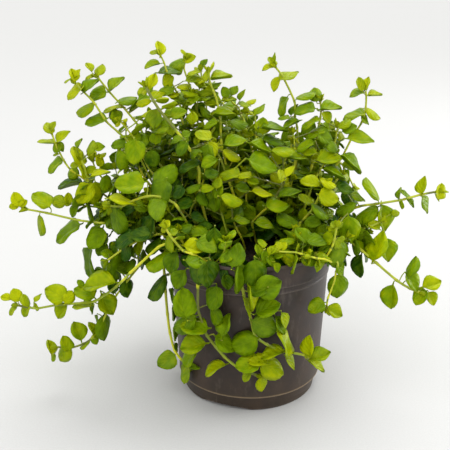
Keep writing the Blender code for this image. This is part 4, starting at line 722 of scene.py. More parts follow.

# leaves of the crown, read one by one: pixels across and down to the middle, long and short side, the way the
# tip points (90 is up), the depth and sometimes the age (0 is fresh and yellow, 1 old and dark)
# a given age follows how dark the leaf looks, so for leaves deep in the crown it holds painted shade too
crownLeaves = [
    (152, 65, 16, 7, 190, 30), (193, 101, 16, 10, 200, 22), (189.4, 89, 18, 5, 10, 26),
    (224.5, 91.5, 11, 10, 110, 20, 0.5), (234, 90.5, 12, 9, 60, 22, 0.4), (229, 99, 15, 6, 10, 20),
    (243, 95, 12, 5, 60, 28), (250, 100, 11, 5, 40, 32, 0.05), (258.5, 108.5, 15, 7, 60, 26),
    (245, 103.6, 12, 5, 5, 28), (224.5, 113, 22, 7, 5, 16), (239, 120.6, 18, 10, 10, 18),
    (263, 125.4, 16, 15, 90, 14), (236.6, 143.6, 23, 11, 5, 2), (233, 152, 19, 9, 350, -2, 0.2),
    (202.7, 136, 17, 11, 170, -2, 0.05), (210, 151, 18, 12, 280, -6, 0.3), (210, 124, 14, 8, 200, 8),
    (142, 91.5, 11, 10, 110, 22), (143, 101, 14, 12, 250, 18, 0.3), (155.5, 119, 20, 17, 260, 0, 0.3),
    (169, 130, 14, 11, 300, 2), (150, 110, 20, 7, 40, 8), (171, 113, 14, 8, 30, 10),
    (179.5, 114.5, 17, 11, 20, 6), (192, 118, 14, 12, 90, 12), (177, 140.5, 12, 8, 190, -10),
    (186, 134, 10, 8, 30, -4), (141, 139, 17, 17, 120, 2), (134, 137, 14, 12, 200, 4),
    (118, 144, 15, 11, 180, 2, 0.8), (134.5, 153, 24, 21, 270, -10, 0.55),
    (153, 159, 17, 16, 280, -4, 0.8), (157, 137, 14, 12, 80, 4), (163, 173, 28, 21, 60, -18, 0.6),
    (161, 194, 27, 22, 250, -26, 0.6), (129, 184, 29, 22, 190, -24, 0.5), (123, 198, 28, 6, 0, -27, 0.1),
    (118, 160, 19, 14, 260, -2), (108, 183, 16, 11, 280, -6), (188, 165, 22, 11, 190, -10, 0.8),
    (193, 185, 16, 8, 180, -18, 0.7), (214.5, 201, 22, 17, 270, -17, 0.7),
    (216.5, 182, 12, 10, 90, -19, 0.25), (232.5, 196, 22, 12, 0, -25, 0.3),
    (229, 174, 21, 12, 180, -13, 0.45), (253, 180, 14, 10, 340, -15, 0.35), (243, 188, 16, 10, 350, -13),
    (265, 161.5, 30, 18, 350, -14, 0.6), (261, 147, 24, 7, 340, -4), (282.7, 147, 22, 10, 20, -6),
    (275, 139, 24, 7, 0, 4, 0.8), (304.5, 145, 18, 10, 200, 2), (330, 160, 24, 14, 0, -2),
    (304.5, 108.5, 20, 12, 180, 14), (331, 107, 22, 9, 10, 14), (284, 119, 12, 5, 190, 16),
    (291, 124, 18, 6, 200, 12), (310, 122, 20, 7, 195, 8), (316, 132, 18, 9, 190, 6),
    (327, 136, 18, 13, 330, 4), (343, 122, 15, 10, 60, 8), (350, 129, 15, 12, 20, 8),
    (326, 118, 13, 9, 290, 10, 0.3), (333, 146, 13, 11, 110, 0), (297, 157, 22, 8, 0, 0),
    (310, 153, 14, 9, 180, 0), (361, 141, 26, 12, 350, 4), (352, 163, 27, 7, 325, 0),
    (335, 173, 24, 6, 340, -8), (329, 181, 16, 8, 0, -22, 0.02), (310, 183, 20, 13, 160, -18, 0.1),
    (330, 196, 21, 18, 350, -24, 0.15), (346, 186, 19, 12, 350, -10, 0.8), (358, 195, 18, 8, 345, -6),
    (365, 211, 26, 16, 200, -8, 0.6), (345, 205, 20, 12, 190, -14), (348, 230, 26, 24, 270, -30),
    (352, 247, 16, 8, 260, -24), (322, 208, 22, 8, 340, -26, 0.7), (312, 222, 16, 13, 200, -24, 0.8),
    (290, 217.5, 22, 14, 135, -23), (302, 236, 20, 14, 125, -40), (278, 203, 23, 14, 10, -21, 0.45),
    (263, 191, 21, 7, 0, -19, 0.15), (291, 194.5, 22, 8, 10, -18, 0.8),
    (264.5, 226, 19, 10, 340, -21, 0.5), (242.7, 218.7, 17, 8, 0, -21, 0.4), (317, 243, 20, 12, 350, -42),
    (318, 266, 13, 8, 270, -50, 0.35), (325, 256, 16, 8, 350, -46, 0.3),
    (281.5, 175, 12, 9, 90, -25, 0.02), (291, 171.5, 13, 7, 50, -27, 0.02),
    (84, 194, 22, 19, 240, -3, 0.2), (97, 193, 22, 18, 280, -4, 0.3), (70, 184, 25, 7, 185, 8, 0.8),
    (89, 147, 15, 9, 90, 3, 0.2), (99, 147, 12, 9, 10, 4), (101, 175, 20, 5, 10, -8, 0.1),
    (97, 213, 13, 7, 200, 2, 0.9), (75, 211, 14, 9, 235, 1), (83, 207, 14, 4, 190, 1),
    (113, 221, 27, 18, 265, -26, 0.65), (66, 231, 29, 15, 205, -10), (96, 239, 24, 19, 240, -10, 0.5),
    (101, 249, 15, 13, 250, -10, 0.9), (105, 240, 14, 8, 80, -8), (87, 263, 30, 11, 258, -4, 0.85),
    (101, 271, 13, 9, 0, -2, 0.9), (115, 251, 19, 10, 265, -14, 0.95), (140, 247, 18, 8, 80, -22, 0.4),
    (122, 268, 31, 14, 278, -20, 0.75), (129, 288, 19, 14, 285, -16, 0.9),
    (154, 284, 28, 15, 215, -30, 0.8), (126, 234, 14, 11, 200, -20, 0.9), (132, 250, 14, 8, 270, -20, 0.9),
    (150, 228, 24, 14, 270, -20, 0.8), (152, 243, 20, 13, 200, -24, 0.8),
    (159, 254, 32, 15, 190, -36, 0.6), (142, 206, 15, 10, 340, -14, 0.4),
    (127, 210, 17, 12, 200, -10, 0.9), (182, 226, 20, 13, 180, -32, 0.7),
    (198, 234, 22, 12, 170, -30, 0.65), (228, 281, 18, 14, 280, -50, 0.95),
    (194.5, 247, 22, 15, 350, -46, 0.12), (207, 247, 22, 17, 330, -45, 0.35),
    (215, 237, 18, 16, 270, -42, 0.8), (258, 250, 12, 9, 100, -50, 0.4), (264, 258, 13, 9, 270, -52, 0.58),
    (272, 250, 12, 8, 60, -50, 0.3), (270, 262, 12, 8, 300, -52, 0.68), (280, 256, 11, 7, 20, -50, 0.38),
    (282, 246, 10, 7, 80, -48, 0.2), (290, 252, 12, 7, 340, -48, 0.4), (276, 268, 10, 7, 280, -54, 0.58),
    (262, 243, 10, 7, 120, -48, 0.3), (99, 284, 32, 20, 185, -32, 0.25), (84, 292, 22, 18, 150, -30, 0.4),
    (80, 283, 8, 7, 120, -26, 0.5), (82, 307, 19, 8, 190, -30, 0.3), (54, 294, 23, 21, 150, -29, 0.3),
    (68.5, 297, 14, 13, 60, -30, 0.3), (62, 311, 18, 14, 235, -29, 0.35),
    (27, 300, 13, 10, 100, -28, 0.15), (25, 310.5, 14, 10, 240, -28, 0.15),
    (15.5, 295, 14, 13, 110, -27, 0.05), (5.5, 298, 11, 9, 160, -27, 0.05),
    (12, 310, 12, 7, 220, -27, 0.2), (37, 297, 10, 4, 60, -28, 0.3), (34, 307, 9, 4, 270, -28, 0.3),
    (108, 327, 26, 15, 285, -17, 0.6), (108, 304, 24, 20, 300, -18, 0.4),
    (112, 287, 14, 12, 100, -14, 0.8), (93, 308, 12, 4, 290, -16, 0.6), (97, 320, 10, 4, 270, -17, 0.6),
    (92, 329, 15, 9, 105, -19, 0.3), (96, 339, 11, 9, 300, -18, 0.6), (77.5, 331, 20, 17, 110, -19, 0.5),
    (84, 342, 13, 5, 200, -18, 0.4), (66, 343, 16, 13, 120, -20, 0.35), (62, 352.5, 20, 16, 235, -20, 0.3),
    (50, 347, 15, 10, 100, -20, 0.15), (54, 358, 8, 5, 260, -20, 0.2), (41, 199, 22, 18, 135, -11, 0.25),
    (36.5, 225, 20, 7, 255, -11, 0.5), (17, 199, 15, 13, 120, -12, 0.05), (14, 206, 10, 8, 200, -13, 0.1),
    (24, 203, 9, 8, 40, -12, 0.2), (58, 202, 15, 14, 170, 1, 0.15), (68.5, 198, 11, 9, 100, 1, 0.2),
    (50, 127, 13, 11, 110, 12, 0.05), (54, 125, 8, 6, 60, 12, 0.1), (64, 137, 17, 8, 35, 11, 0.15),
    (46, 143, 17, 4, 180, 11, 0.3), (57, 148, 11, 9, 250, 11, 0.3), (63, 146, 10, 6, 300, 11, 0.5),
    (56, 155, 6, 3, 200, 11, 0.4), (54, 165, 19, 10, 210, 10, 0.6), (72, 173, 14, 12, 230, 9, 0.3),
    (78, 155, 20, 14, 100, 3, 0.15), (79, 143, 11, 4, 70, 5, 0.3), (101, 154, 9, 4, 45, 8, 0.1),
    (99, 160, 13, 9, 100, 8, 0.1), (84, 170, 16, 9, 95, 1, 0.1), (76, 165, 12, 7, 200, 4, 0.3),
    (92, 170, 10, 8, 30, 4, 0.3), (84, 106, 20, 12, 190, 16, 0.4), (96, 122, 22, 11, 200, 15, 0.5),
    (76, 93, 21, 9, 228, 18, 0.1), (97, 94, 18, 14, 190, 24, 0.4), (90, 85, 20, 9, 45, 18, 0.5),
    (73, 75, 14, 11, 100, 18, 0.05), (77, 73, 10, 6, 60, 19, 0.1), (68, 80, 9, 3, 190, 18, 0.1),
    (116, 83, 20, 9, 48, 26, 0.3), (113, 107, 20, 6, 180, 24, 0.3), (126, 97, 19, 8, 30, 24, 0.4),
    (89, 67, 11, 8, 120, 27, 0.05), (99, 69, 13, 10, 75, 27, 0.05), (89, 77, 9, 5, 190, 27, 0.1),
    (118, 118, 16, 11, 280, 22, 0.4), (113, 114, 12, 5, 230, 23, 0.5), (122, 128, 10, 4, 200, 20, 0.6),
    (159, 48, 15, 11, 95, 33, 0.1), (154, 53, 9, 5, 190, 33, 0.1), (170, 74, 23, 6, 355, 30, 0.8),
    (168, 82, 15, 12, 250, 28, 0.1), (176, 62, 17, 12, 190, 37, 0.3), (183, 53, 8, 4, 130, 38, 0.05),
    (190, 59, 13, 10, 20, 38, 0.08), (178, 69, 10, 6, 230, 36, 0.4), (205, 63, 9, 6, 50, 32, 0.6),
    (194, 74, 14, 5, 200, 31, 0.1), (208, 75, 13, 6, 80, 21, 0.1), (221, 76, 22, 6, 15, 24, 0.4),
    (216, 84, 11, 5, 40, 22, 0.5), (188, 95, 9, 7, 180, 26, 0.1), (195, 81, 18, 8, 0, 30, 0.3),
    (200, 84, 14, 8, 340, 29, 0.3), (210, 90, 10, 9, 100, 24, 0.4), (229, 108, 12, 5, 20, 28),
    (250, 110, 12, 4, 20, 28, 0.3), (272, 61, 11, 8, 110, 23, 0.1), (275.5, 58, 11, 4, 88, 23.5, 0.4),
    (268, 68, 12, 6, 190, 23, 0.1), (288.5, 73.5, 20, 9, 35, 22, 0.1), (277, 84, 16, 9, 235, 22, 0.15),
    (282, 106, 20, 9, 240, 21, 0.4), (295, 110, 13, 6, 55, 20, 0.6), (304, 92.5, 20, 7, 40, 21, 0.5),
    (315.5, 94, 15, 14, 100, 23, 0.35), (360, 84, 14, 9, 110, 18, 0.1), (366, 83, 14, 9, 75, 19, 0.1),
    (357, 94, 15, 8, 190, 18, 0.3), (375, 94, 15, 5, 10, 18, 0.15), (354, 114, 22, 9, 185, 16, 0.5),
    (366, 119, 12, 6, 320, 16, 0.5), (374, 111, 18, 8, 345, 18, 0.1), (376.5, 188, 25, 8, 100, -8, 0.5),
    (384.5, 218, 27, 16, 280, -9, 0.5), (396, 213, 9, 8, 10, -9, 0.15), (399, 193, 12, 4, 85, -9, 0.4),
    (399, 204, 10, 4, 265, -9, 0.4), (406, 194, 12, 5, 115, -9, 0.4), (411, 203, 11, 5, 315, -9, 0.5),
    (424, 185, 18, 10, 75, -10, 0.3), (427, 204, 18, 7, 300, -10, 0.4), (440, 191, 16, 10, 85, -10, 0.15),
    (446, 192, 6, 3, 10, -10, 0.2), (388, 250, 24, 17, 280, -22, 0.5), (375, 244, 31, 18, 80, -25, 0.4),
    (409, 266, 21, 11, 85, -28, 0.4), (411.5, 283, 20, 13, 300, -28, 0.5),
    (391.5, 297, 24, 19, 262, -28, 0.45), (419.5, 297, 18, 15, 250, -29, 0.5),
    (432, 283, 20, 16, 20, -29, 0.15), (431, 299, 14, 11, 290, -29, 0.3),
    (374, 226, 13, 10, 150, -15, 0.1), (360, 266, 23, 14, 262, -25, 0.8),
    (184, 302, 29, 24, 100, -53, 0.58), (183, 320, 26, 20, 200, -51, 0.68),
    (193.5, 328, 27, 18, 180, -52, 0.5), (192.5, 346, 26, 22, 190, -51, 0.53),
    (197, 361, 22, 11, 20, -30, 0.68), (187, 374, 20, 10, 262, -29, 0.33),
    (166, 360, 20, 19, 215, -25, 0.33), (215, 369.5, 23, 12, 205, -52, 0.28),
    (197, 273, 24, 17, 260, -56, 0.78), (210.5, 275, 27, 20, 275, -57, 0.73),
    (180, 280, 21, 18, 240, -48, 0.83), (173, 263, 22, 18, 250, -44, 0.93),
    (197, 260, 21, 12, 0, -55, 0.68), (215, 299, 24, 18, 265, -54, 0.73),
    (212, 316, 20, 14, 260, -54, 0.73), (225, 325, 24, 13, 80, -54, 0.58),
    (227, 342, 24, 17, 330, -54, 0.58), (243.5, 343, 28, 26, 200, -57, 0.58),
    (234, 254, 24, 19, 80, -57, 0.62), (239, 278, 31, 12, 275, -60, 0.78),
    (256, 275, 29, 25, 275, -60.5, 0.78), (268, 286, 29, 26, 20, -59, 0.68),
    (257, 291, 18, 14, 200, -60, 0.73), (252, 298, 26, 8, 285, -61, 0.23),
    (246, 308, 20, 6, 285, -60, 0.28), (269, 309, 25, 20, 20, -58, 0.58),
    (266, 325, 27, 25, 340, -58, 0.58), (283, 321, 16, 8, 280, -56, 0.38),
    (287, 340, 32, 10, 92, -57, 0.28), (273, 354, 24, 14, 190, -56, 0.38),
    (247, 364, 24, 20, 200, -56, 0.38), (273, 369, 26, 23, 340, -57, 0.33),
    (263, 385, 15, 12, 280, -55, 0.28), (289, 363, 17, 7, 300, -54, 0.38),
    (310, 345, 20, 13, 85, -51, 0.15), (321, 354, 20, 15, 20, -51, 0.25),
    (317, 365, 20, 9, 330, -51, 0.15), (316, 307, 18, 16, 205, -43, 0.35),
    (335.5, 311, 18, 14, 330, -42, 0.35), (338.5, 287, 24, 21, 270, -42, 0.5),
    (341, 255, 28, 21, 278, -40, 0.45), (188, 358, 21, 14, 230, -49, 0.43),
    (247, 376, 13, 9, 250, -56, 0.28), (258, 362, 20, 14, 170, -57, 0.33),
    (281, 325, 20, 12, 300, -56, 0.63), (172, 297, 17, 6, 265, -22, 0.83),
    (174, 314, 14, 5, 280, -23, 0.78), (175, 335, 12, 4, 285, -24, 0.73), (177, 347, 9, 4, 300, -25, 0.68),
    (147, 88, 12, 10, 110, 24, 0.6), (157, 93, 16, 8, 20, 22, 0.3), (166, 92, 16, 10, 200, 26, 0.35),
    (173, 93, 14, 6, 10, 26, 0.1), (183, 84, 14, 6, 30, 28, 0.25), (275, 130, 26, 5, 350, 8, 0.5),
    (342, 269, 16, 9, 300, -38, 0.5), (236, 265, 16, 8, 300, -55, 0.88), (222, 272, 14, 9, 260, -48, 0.95),
    (244.5, 175, 14, 8, 170, -16, 0.3), (218, 191, 16, 12, 270, -18, 0.5),
    (124, 240, 22, 16, 200, -30, 0.85), (140, 235, 20, 15, 190, -30, 0.8),
    (122, 252, 18, 12, 250, -28, 0.85), (199, 216, 15, 9, 350, -20, 0.85),
    (184, 204, 16, 12, 200, -20, 0.9), (212, 172, 14, 11, 10, -20, 0.7), (209, 163, 17, 13, 200, -18, 0.5),
    (205, 198, 16, 12, 100, -20, 0.8), (205, 226, 16, 11, 10, -22, 0.9), (208, 190, 13, 8, 10, -22, 0.45),
    (208, 155, 19, 14, 270, -14, 0.4), (182, 149, 16, 12, 250, -14, 0.9),
    (178, 193, 15, 12, 240, -20, 0.85)]


def photoPoint(across, down, depth):
    ray = look + right * ((across - photoCentre) / focal) + up * ((photoCentre - down) / focal)
    return eye + ray * ((depth - eye.y) / ray.y)


def photoPixel(point):  # across and down, and how far it is from the camera
    ahead = point - eye
    away = ahead.dot(look)
    return photoCentre + focal * ahead.dot(right) / away, photoCentre - focal * ahead.dot(up) / away, away


def photoLeaf(place, across, down, length, facing=front):
    span = (right * across - up * down) * ((place - eye).dot(look) / focal)
    away = look * math.copysign(math.sqrt(max((length * mm) ** 2 - span.length_squared, 0)), length)
    tip = place + span + away
    if tip.z < potTop and place.to_2d().length > rimRadius - nearRim and tip.to_2d().length < rimRadius:
        away.negate()  # outside the pot, the tip comes nearer rather than going into the wall
    return span + away, facing


def photoNodes(shoot):
    nodes = []
    for across, down, depth, *leaves in shoot["nodes"]:
        place = photoPoint(across, down, depth * mm)
        nodes.append((place, [photoLeaf(place, *leaf) for leaf in leaves]))
    return nodes


backHabit = dict(
    wander=2,  # mm aside at each node
    spread=(70, 30),  # degrees from the stem, and how much less at the tip
    leaf=(16, 5), vary=(0.85, 1.1))  # mm, how much less at the tip, and its share from leaf to leaf


def arcNodes(shoot, chance):
    # a parabola from the root over its top to the tip, with a pair of leaves at each node
    (wide, closing), (long, shrinking) = backHabit["spread"], backHabit["leaf"]
    wander = backHabit["wander"]
    angle = math.radians(shoot["angle"])
    outward = Vector((math.cos(angle), math.sin(angle), 0))
    aside = Vector((-math.sin(angle), math.cos(angle), 0))
    rise, end = shoot["rise"], shoot["end"]
    bow = 2 * rise - end + 2 * math.sqrt(rise * (rise - end))
    nodes = []
    for step in range(1, backNodes + 1):
        along = step / backNodes
        height = bow * along - (bow - end) * along * along
        place = outward * (shoot["root"] + shoot["reach"] * along) * mm
        place += aside * chance.uniform(-wander, wander) * mm + Vector((0, 0, soilTop + height * mm))
        slope = bow - 2 * (bow - end) * along
        growth = (outward * shoot["reach"] + Vector((0, 0, slope))).normalized()
        across = aside if step % 2 else aside.cross(growth)
        spread = math.radians(wide - closing * along)
        leaves = []
        for side in (1, -1):
            way = across * side * math.sin(spread) + growth * math.cos(spread)
            leaves.append((way * (long - shrinking * along) * mm * chance.uniform(*backHabit["vary"]), free))
        nodes.append((place, leaves))
    return nodes


def liftOverRim(nodes):  # a stem that would run through the rim goes over it
    crossing = rimRadius - wall / 2
    routed = nodes[:1]
    for place, leaves in nodes[1:]:
        start = routed[-1][0]
        run = (place - start).to_2d()
        if start.to_2d().length < crossing < place.to_2d().length:
            half = start.to_2d().dot(run) / run.length_squared
            inside = (crossing ** 2 - start.to_2d().length_squared) / run.length_squared
            over = start.lerp(place, math.sqrt(half ** 2 + inside) - half)
            if over.z < potTop + stemOverRim:
                over.z = potTop + stemOverRim
                routed.append((over, []))
        routed.append((place, leaves))
    return routed


def shootNodes(name):  # each node's place, and the reach and facing of its leaves
    if name in shoots:
        x, y = shoots[name]["root"]
        return liftOverRim([(Vector((x * mm, y * mm, stemFoot)), [])] + photoNodes(shoots[name]))
    shoot = backShoots[name]
    angle = math.radians(shoot["angle"])
    reach = shoot["root"] * mm
    root = Vector((reach * math.cos(angle), reach * math.sin(angle), stemFoot))
    return liftOverRim([(root, [])] + arcNodes(shoot, random.Random(name)))


# growing a shoot

growthLook = dict(
    pairGap=8.5, pairJitter=1.5,  # mm between the pairs that fill a bare stretch
    fillLength=(11, 17),  # mm, leaves of those pairs
    fillSpread=(52, 80),  # degrees from the stem
    firstPair=7,  # mm above the compost
    nodeClear=5,  # mm of bare stem kept beside a node with leaves
    turnJitter=10,  # degrees, added to the quarter turn from pair to pair
    tries=4, higher=0.3, shorter=0.85,  # a leaf that doesn't fit is tried higher and shorter
    bud=(3.6, 6.6),  # mm, leaves folded over the tip
    budSpread=(38, 22), budWidth=0.6, budInset=0.6,  # degrees, share of its length, mm
    lookUp=(0.05, 0.6), freeUp=0.6,  # how much the upper sides turn up, where they are seen and where not
    roll=22, rollSeen=0.55,  # degrees about the leaf's length, and the share of it if it faces the camera
    leanReach=8, lean=1.5,  # leaves this near the pot, in mm, turn their upper sides outward
    lowLeaves=140,  # mm, the height up to which they have the shapes of low leaves
    widths=(0.88, 0.32), rising=(105, 60),  # round low leaves, narrower from 105 mm up, over 60 mm
    widthJitter=0.12, young=7.5, youngWidth=0.85,  # leaves under 7.5 mm are narrower
    nodeSwell=1.25, taper=0.12)
ageLook = dict(
    tip=0.06, stem=85,  # a leaf's age at the tip, and the mm of stem over which it grows old
    shadeFrom=175, shadeOver=90, light=0.25,  # mm: lower leaves get a higher age, so a darker colour, as painted shade, and by what share
    shade=0.26,  # painted shade: added to the age of the leaves that fill the crown
    inner=0.35)  # and for those of the inner shoots, as painted shade for lying under the others
leafCentre = 0.6  # how far along a leaf its middle is taken to be
readCentre = 0.55  # and on a leaf read from the photograph
leafTests = (0.35, 0.7, 1)  # where along a leaf it is kept out of the pot


def held(amount):  # kept between 0 and 1
    return min(max(amount, 0), 1)


def raised(way):
    return -way if way.z < 0 else way


def aroundStem(growth, degrees):  # at right angles to the stem, turned about it
    helper = Vector((0, 0, 1)) if abs(growth.z) < 0.9 else Vector((1, 0, 0))
    return Quaternion(growth, math.radians(degrees)) @ growth.cross(helper).normalized()


def growthAt(places, index):
    before = places[max(index - 1, 0)]
    after = places[min(index + 1, len(places) - 1)]
    return (after - before).normalized()


def smoothRoute(places):  # more points along the stem, on a curve through its nodes
    points = [places[0]]
    for i in range(len(places) - 1):
        a = places[max(i - 1, 0)]
        b, c = places[i], places[i + 1]
        d = places[min(i + 2, len(places) - 1)]
        leave = (c - a) * 0.5
        arrive = (d - b) * 0.5
        reach = (c - b).length
        leave = leave.normalized() * min(leave.length, reach)
        arrive = arrive.normalized() * min(arrive.length, reach)
        for t in (0.15, 0.5, 0.85, 1):
            points.append(b * (2 * t ** 3 - 3 * t ** 2 + 1) + leave * (t ** 3 - 2 * t ** 2 + t)
                          + c * (-2 * t ** 3 + 3 * t ** 2) + arrive * (t ** 3 - t ** 2))
    return points


stemSides = 6
pointsPerNode = 4  # of the smooth route


def growStems(name, runs, material):
    # bevelled curves through the routes, swollen at the nodes and thinner toward the tip, made one mesh
    deselectAll()
    bpy.ops.curve.primitive_nurbs_path_add()
    stem = bpy.context.object
    stem.name = name
    curve = stem.data
    curve.splines.remove(curve.splines[0])
    values = []
    for places, width, ages in runs:
        points = smoothRoute(places)
        last = len(points) - 1
        spline = curve.splines.new("POLY")
        spline.points.add(last)
        for i, point in enumerate(points):
            taper = 1 - growthLook["taper"] * (i / last) ** 1.5
            swell = growthLook["nodeSwell"] if i % pointsPerNode == 0 and i else 1
            spline.points[i].co = (*point, 1)
            spline.points[i].radius = width / mm * taper * swell
            values += [ages[0] + (ages[1] - ages[0]) * i / last] * stemSides
        values += [ages[0]] * stemSides + [ages[1]] * stemSides  # its two end caps
    curve.dimensions = "3D"
    curve.twist_mode = "MINIMUM"
    curve.bevel_depth = mm / 2
    curve.bevel_resolution = (stemSides - 4) // 2
    curve.use_fill_caps = True
    bpy.ops.object.convert(target="MESH")
    stem = bpy.context.object
    stem.data.materials.append(material)
    stem.data.attributes.new("age", "FLOAT", "POINT").data.foreach_set("value", values)
    stem.data.attributes.new("chance", "FLOAT", "POINT")
    bpy.ops.object.mode_set(mode="EDIT")
    bpy.ops.mesh.select_all(action="SELECT")
    bpy.ops.mesh.remove_doubles(threshold=mm / 200)  # welds the caps to the stem
    bpy.ops.mesh.normals_make_consistent(inside=False)
    bpy.ops.object.mode_set(mode="OBJECT")
    bpy.ops.object.shade_smooth_by_angle(angle=math.radians(50))
    return stem


def upperSide(place, axis, growth, facing, chance):
    towardEye = (eye - place).normalized()
    if facing == front:
        way = towardEye + Vector((0, 0, chance.uniform(*growthLook["lookUp"])))
    elif facing == edge:
        way = raised(axis.cross(towardEye))
    else:
        way = growth + Vector((0, 0, growthLook["freeUp"]))
    return (way - way.project(axis)).normalized()


def inPot(point):  # in the rim and wall, or under the compost's top
    radius = point.to_2d().length
    if point.z > potTop + offPot or radius > rimRadius + offPot:
        return False
    return radius > mouth or point.z < soilTop + overSoil


class Foliage:
    # the leaves of one shoot, collected to be joined with its stem
    def __init__(self, name):
        self.chance = random.Random(name + " leaves")
        self.leaves = []  # what to lay: kind, place, reach, upper side, width, age, chance
        self.runs = []  # stems: places, width, ages

    def add(self, place, reach, growth, facing, fromTip, shade=0):
        chance = self.chance
        axis = reach.normalized()
        upper = upperSide(place, axis, growth, facing, chance)
        middle = place + reach * leafCentre
        if middle.z < potTop and middle.to_2d().length < rimRadius + growthLook["leanReach"] * mm:
            outward = Vector((middle.x, middle.y, 0)).normalized()
            upper = (upper + outward * growthLook["lean"]).normalized()
        roll = chance.gauss(0, growthLook["roll"] * (growthLook["rollSeen"] if facing == front else 1))
        upper = Quaternion(axis, math.radians(roll)) @ upper
        kinds = lowKinds if place.z < growthLook["lowLeaves"] * mm else highKinds
        jitter = growthLook["widthJitter"]
        (low, less), (start, over) = growthLook["widths"], growthLook["rising"]
        width = low - less * held((place.z - start * mm) / (over * mm))
        width *= chance.uniform(1 - jitter, 1 + jitter)
        if reach.length < growthLook["young"] * mm:
            width *= growthLook["youngWidth"]
        age = held(ageLook["tip"] + fromTip / (ageLook["stem"] * mm))
        # painted shade: the lower the leaf, the older and darker its colour
        paintedShade = held((ageLook["shadeFrom"] * mm - place.z) / (ageLook["shadeOver"] * mm))
        age = (1 - ageLook["light"]) * age + ageLook["light"] * paintedShade + shade
        self.leaves.append((chance.choice(kinds), place, reach, upper, width, age, chance.random()))


def dressShoot(nodes, foliage):
    places = [place for place, leaves in nodes]
    steps = [(b - a).length for a, b in zip(places, places[1:])]
    total = sum(steps)
    chance = foliage.chance
    travelled = 0
    quarter = chance.uniform(0, 90)
    for index, (place, leaves) in enumerate(nodes):
        if index:
            travelled += steps[index - 1]
        growth = growthAt(places, index)
        for reach, facing in leaves:
            if not readAgain(place + reach * readCentre):
                foliage.add(place, reach, growth, facing, total - travelled)
        if index == len(nodes) - 1:
            continue
        # the bare stretch to the next node gets pairs of its own
        ahead = nodes[index + 1][0] - place
        along = (growthLook["firstPair"] if index == 0 else growthLook["nodeClear"]) * mm
        gap = growthLook["pairGap"] * mm + chance.uniform(-1, 1) * growthLook["pairJitter"] * mm
        while along < ahead.length - growthLook["nodeClear"] * mm:
            quarter += 90 + chance.gauss(0, growthLook["turnJitter"])
            fillPair(foliage, place + ahead * (along / ahead.length), ahead.normalized(), quarter,
                     total - travelled - along)
            along += gap
    tipBuds(foliage, places)


def fits(place, reach):  # a filling leaf stays in the crown, and off the leaves and hollows of the photograph
    if any(inPot(place + reach * along) for along in leafTests):
        return False
    return not hidesRead(place, reach) and not inHollow(place, reach) and insideCrownOutline(place + reach)


def fillPair(foliage, place, growth, quarter, fromTip, lengths=growthLook["fillLength"]):
    chance = foliage.chance
    across = aroundStem(growth, quarter)
    for side in (1, -1):
        spread = math.radians(chance.uniform(*growthLook["fillSpread"]))
        length = chance.uniform(*lengths) * mm
        for attempt in range(growthLook["tries"]):
            way = across * side * math.sin(spread) + growth * math.cos(spread)
            way += Vector((0, 0, growthLook["higher"] * attempt))
            reach = way.normalized() * length
            if fits(place, reach):
                foliage.add(place, reach, growth, free, fromTip, ageLook["shade"])
                break
            length *= growthLook["shorter"]


def tipBuds(foliage, places, age=0.02):
    chance = foliage.chance
    growth = (places[-1] - places[-2]).normalized()
    small, large = growthLook["bud"]
    half = (small + large) / 2
    turnAbout = chance.uniform(0, 180)
    for pair, lengths in enumerate(((half, large), (small, half))):
        across = aroundStem(growth, turnAbout + 90 * pair)
        spread = math.radians(growthLook["budSpread"][pair])
        for side in (1, -1):
            way = across * side * math.sin(spread) + growth * math.cos(spread)
            length = chance.uniform(*lengths)
            place = places[-1] - growth * growthLook["budInset"] * mm * (1 - pair)
            axis = way.normalized()
            upper = growth - growth.project(axis)  # the upper side of a bud leaf faces the tip it folds over
            foliage.leaves.append(("bud leaf", place, axis * length * mm, upper, growthLook["budWidth"], age,
                                   chance.random()))


twigLook = dict(
    gap=(11, 17), reach=(14, 23),  # mm between the twigs, and their lengths
    first=10,  # mm above the root
    steps=3, wander=0.12, rise=0.22, lean=0.8,
    ahead=8,  # mm past its end that the outline of the crown has to hold too
    leaves=(11, 16), shrink=0.3,  # mm, and how much less at the tip
    fewest=4,  # with fewer leaves it is too bare to be worth growing
    spin=137, spinJitter=15, turnJitter=8,  # degrees, from twig to twig and from pair to pair
    width=0.62, ages=(0.6, 0.35))


def twig(foliage, start, growth, reach, width):
    # a short side shoot: it leaves the stem, bends upward and carries pairs and a bud
    chance = foliage.chance
    places = [start]
    way = growth
    steps, wander = twigLook["steps"], twigLook["wander"]
    for step in range(steps):
        bend = Vector((chance.gauss(0, wander), chance.gauss(0, wander), twigLook["rise"]))
        way = (way + bend).normalized()
        places.append(places[-1] + way * reach / steps)
    beyond = places[-1] + way * twigLook["ahead"] * mm
    if any(inPot(place) for place in places[1:]) or not insideCrownOutline(beyond):
        return
    if any(hidesRead(a, b - a) for a, b in zip(places, places[1:])):
        return
    before = len(foliage.leaves)
    quarter = chance.uniform(0, 90)
    for index in range(1, len(places)):
        quarter += 90 + chance.gauss(0, twigLook["turnJitter"])
        size = 1 - twigLook["shrink"] * index / steps
        fillPair(foliage, places[index], growthAt(places, index), quarter, reach * (1 - index / steps),
                 [length * size for length in twigLook["leaves"]])
    if len(foliage.leaves) - before < twigLook["fewest"]:
        del foliage.leaves[before:]
        return
    tipBuds(foliage, places, 0.15)
    foliage.runs.append((places, width * twigLook["width"], twigLook["ages"]))


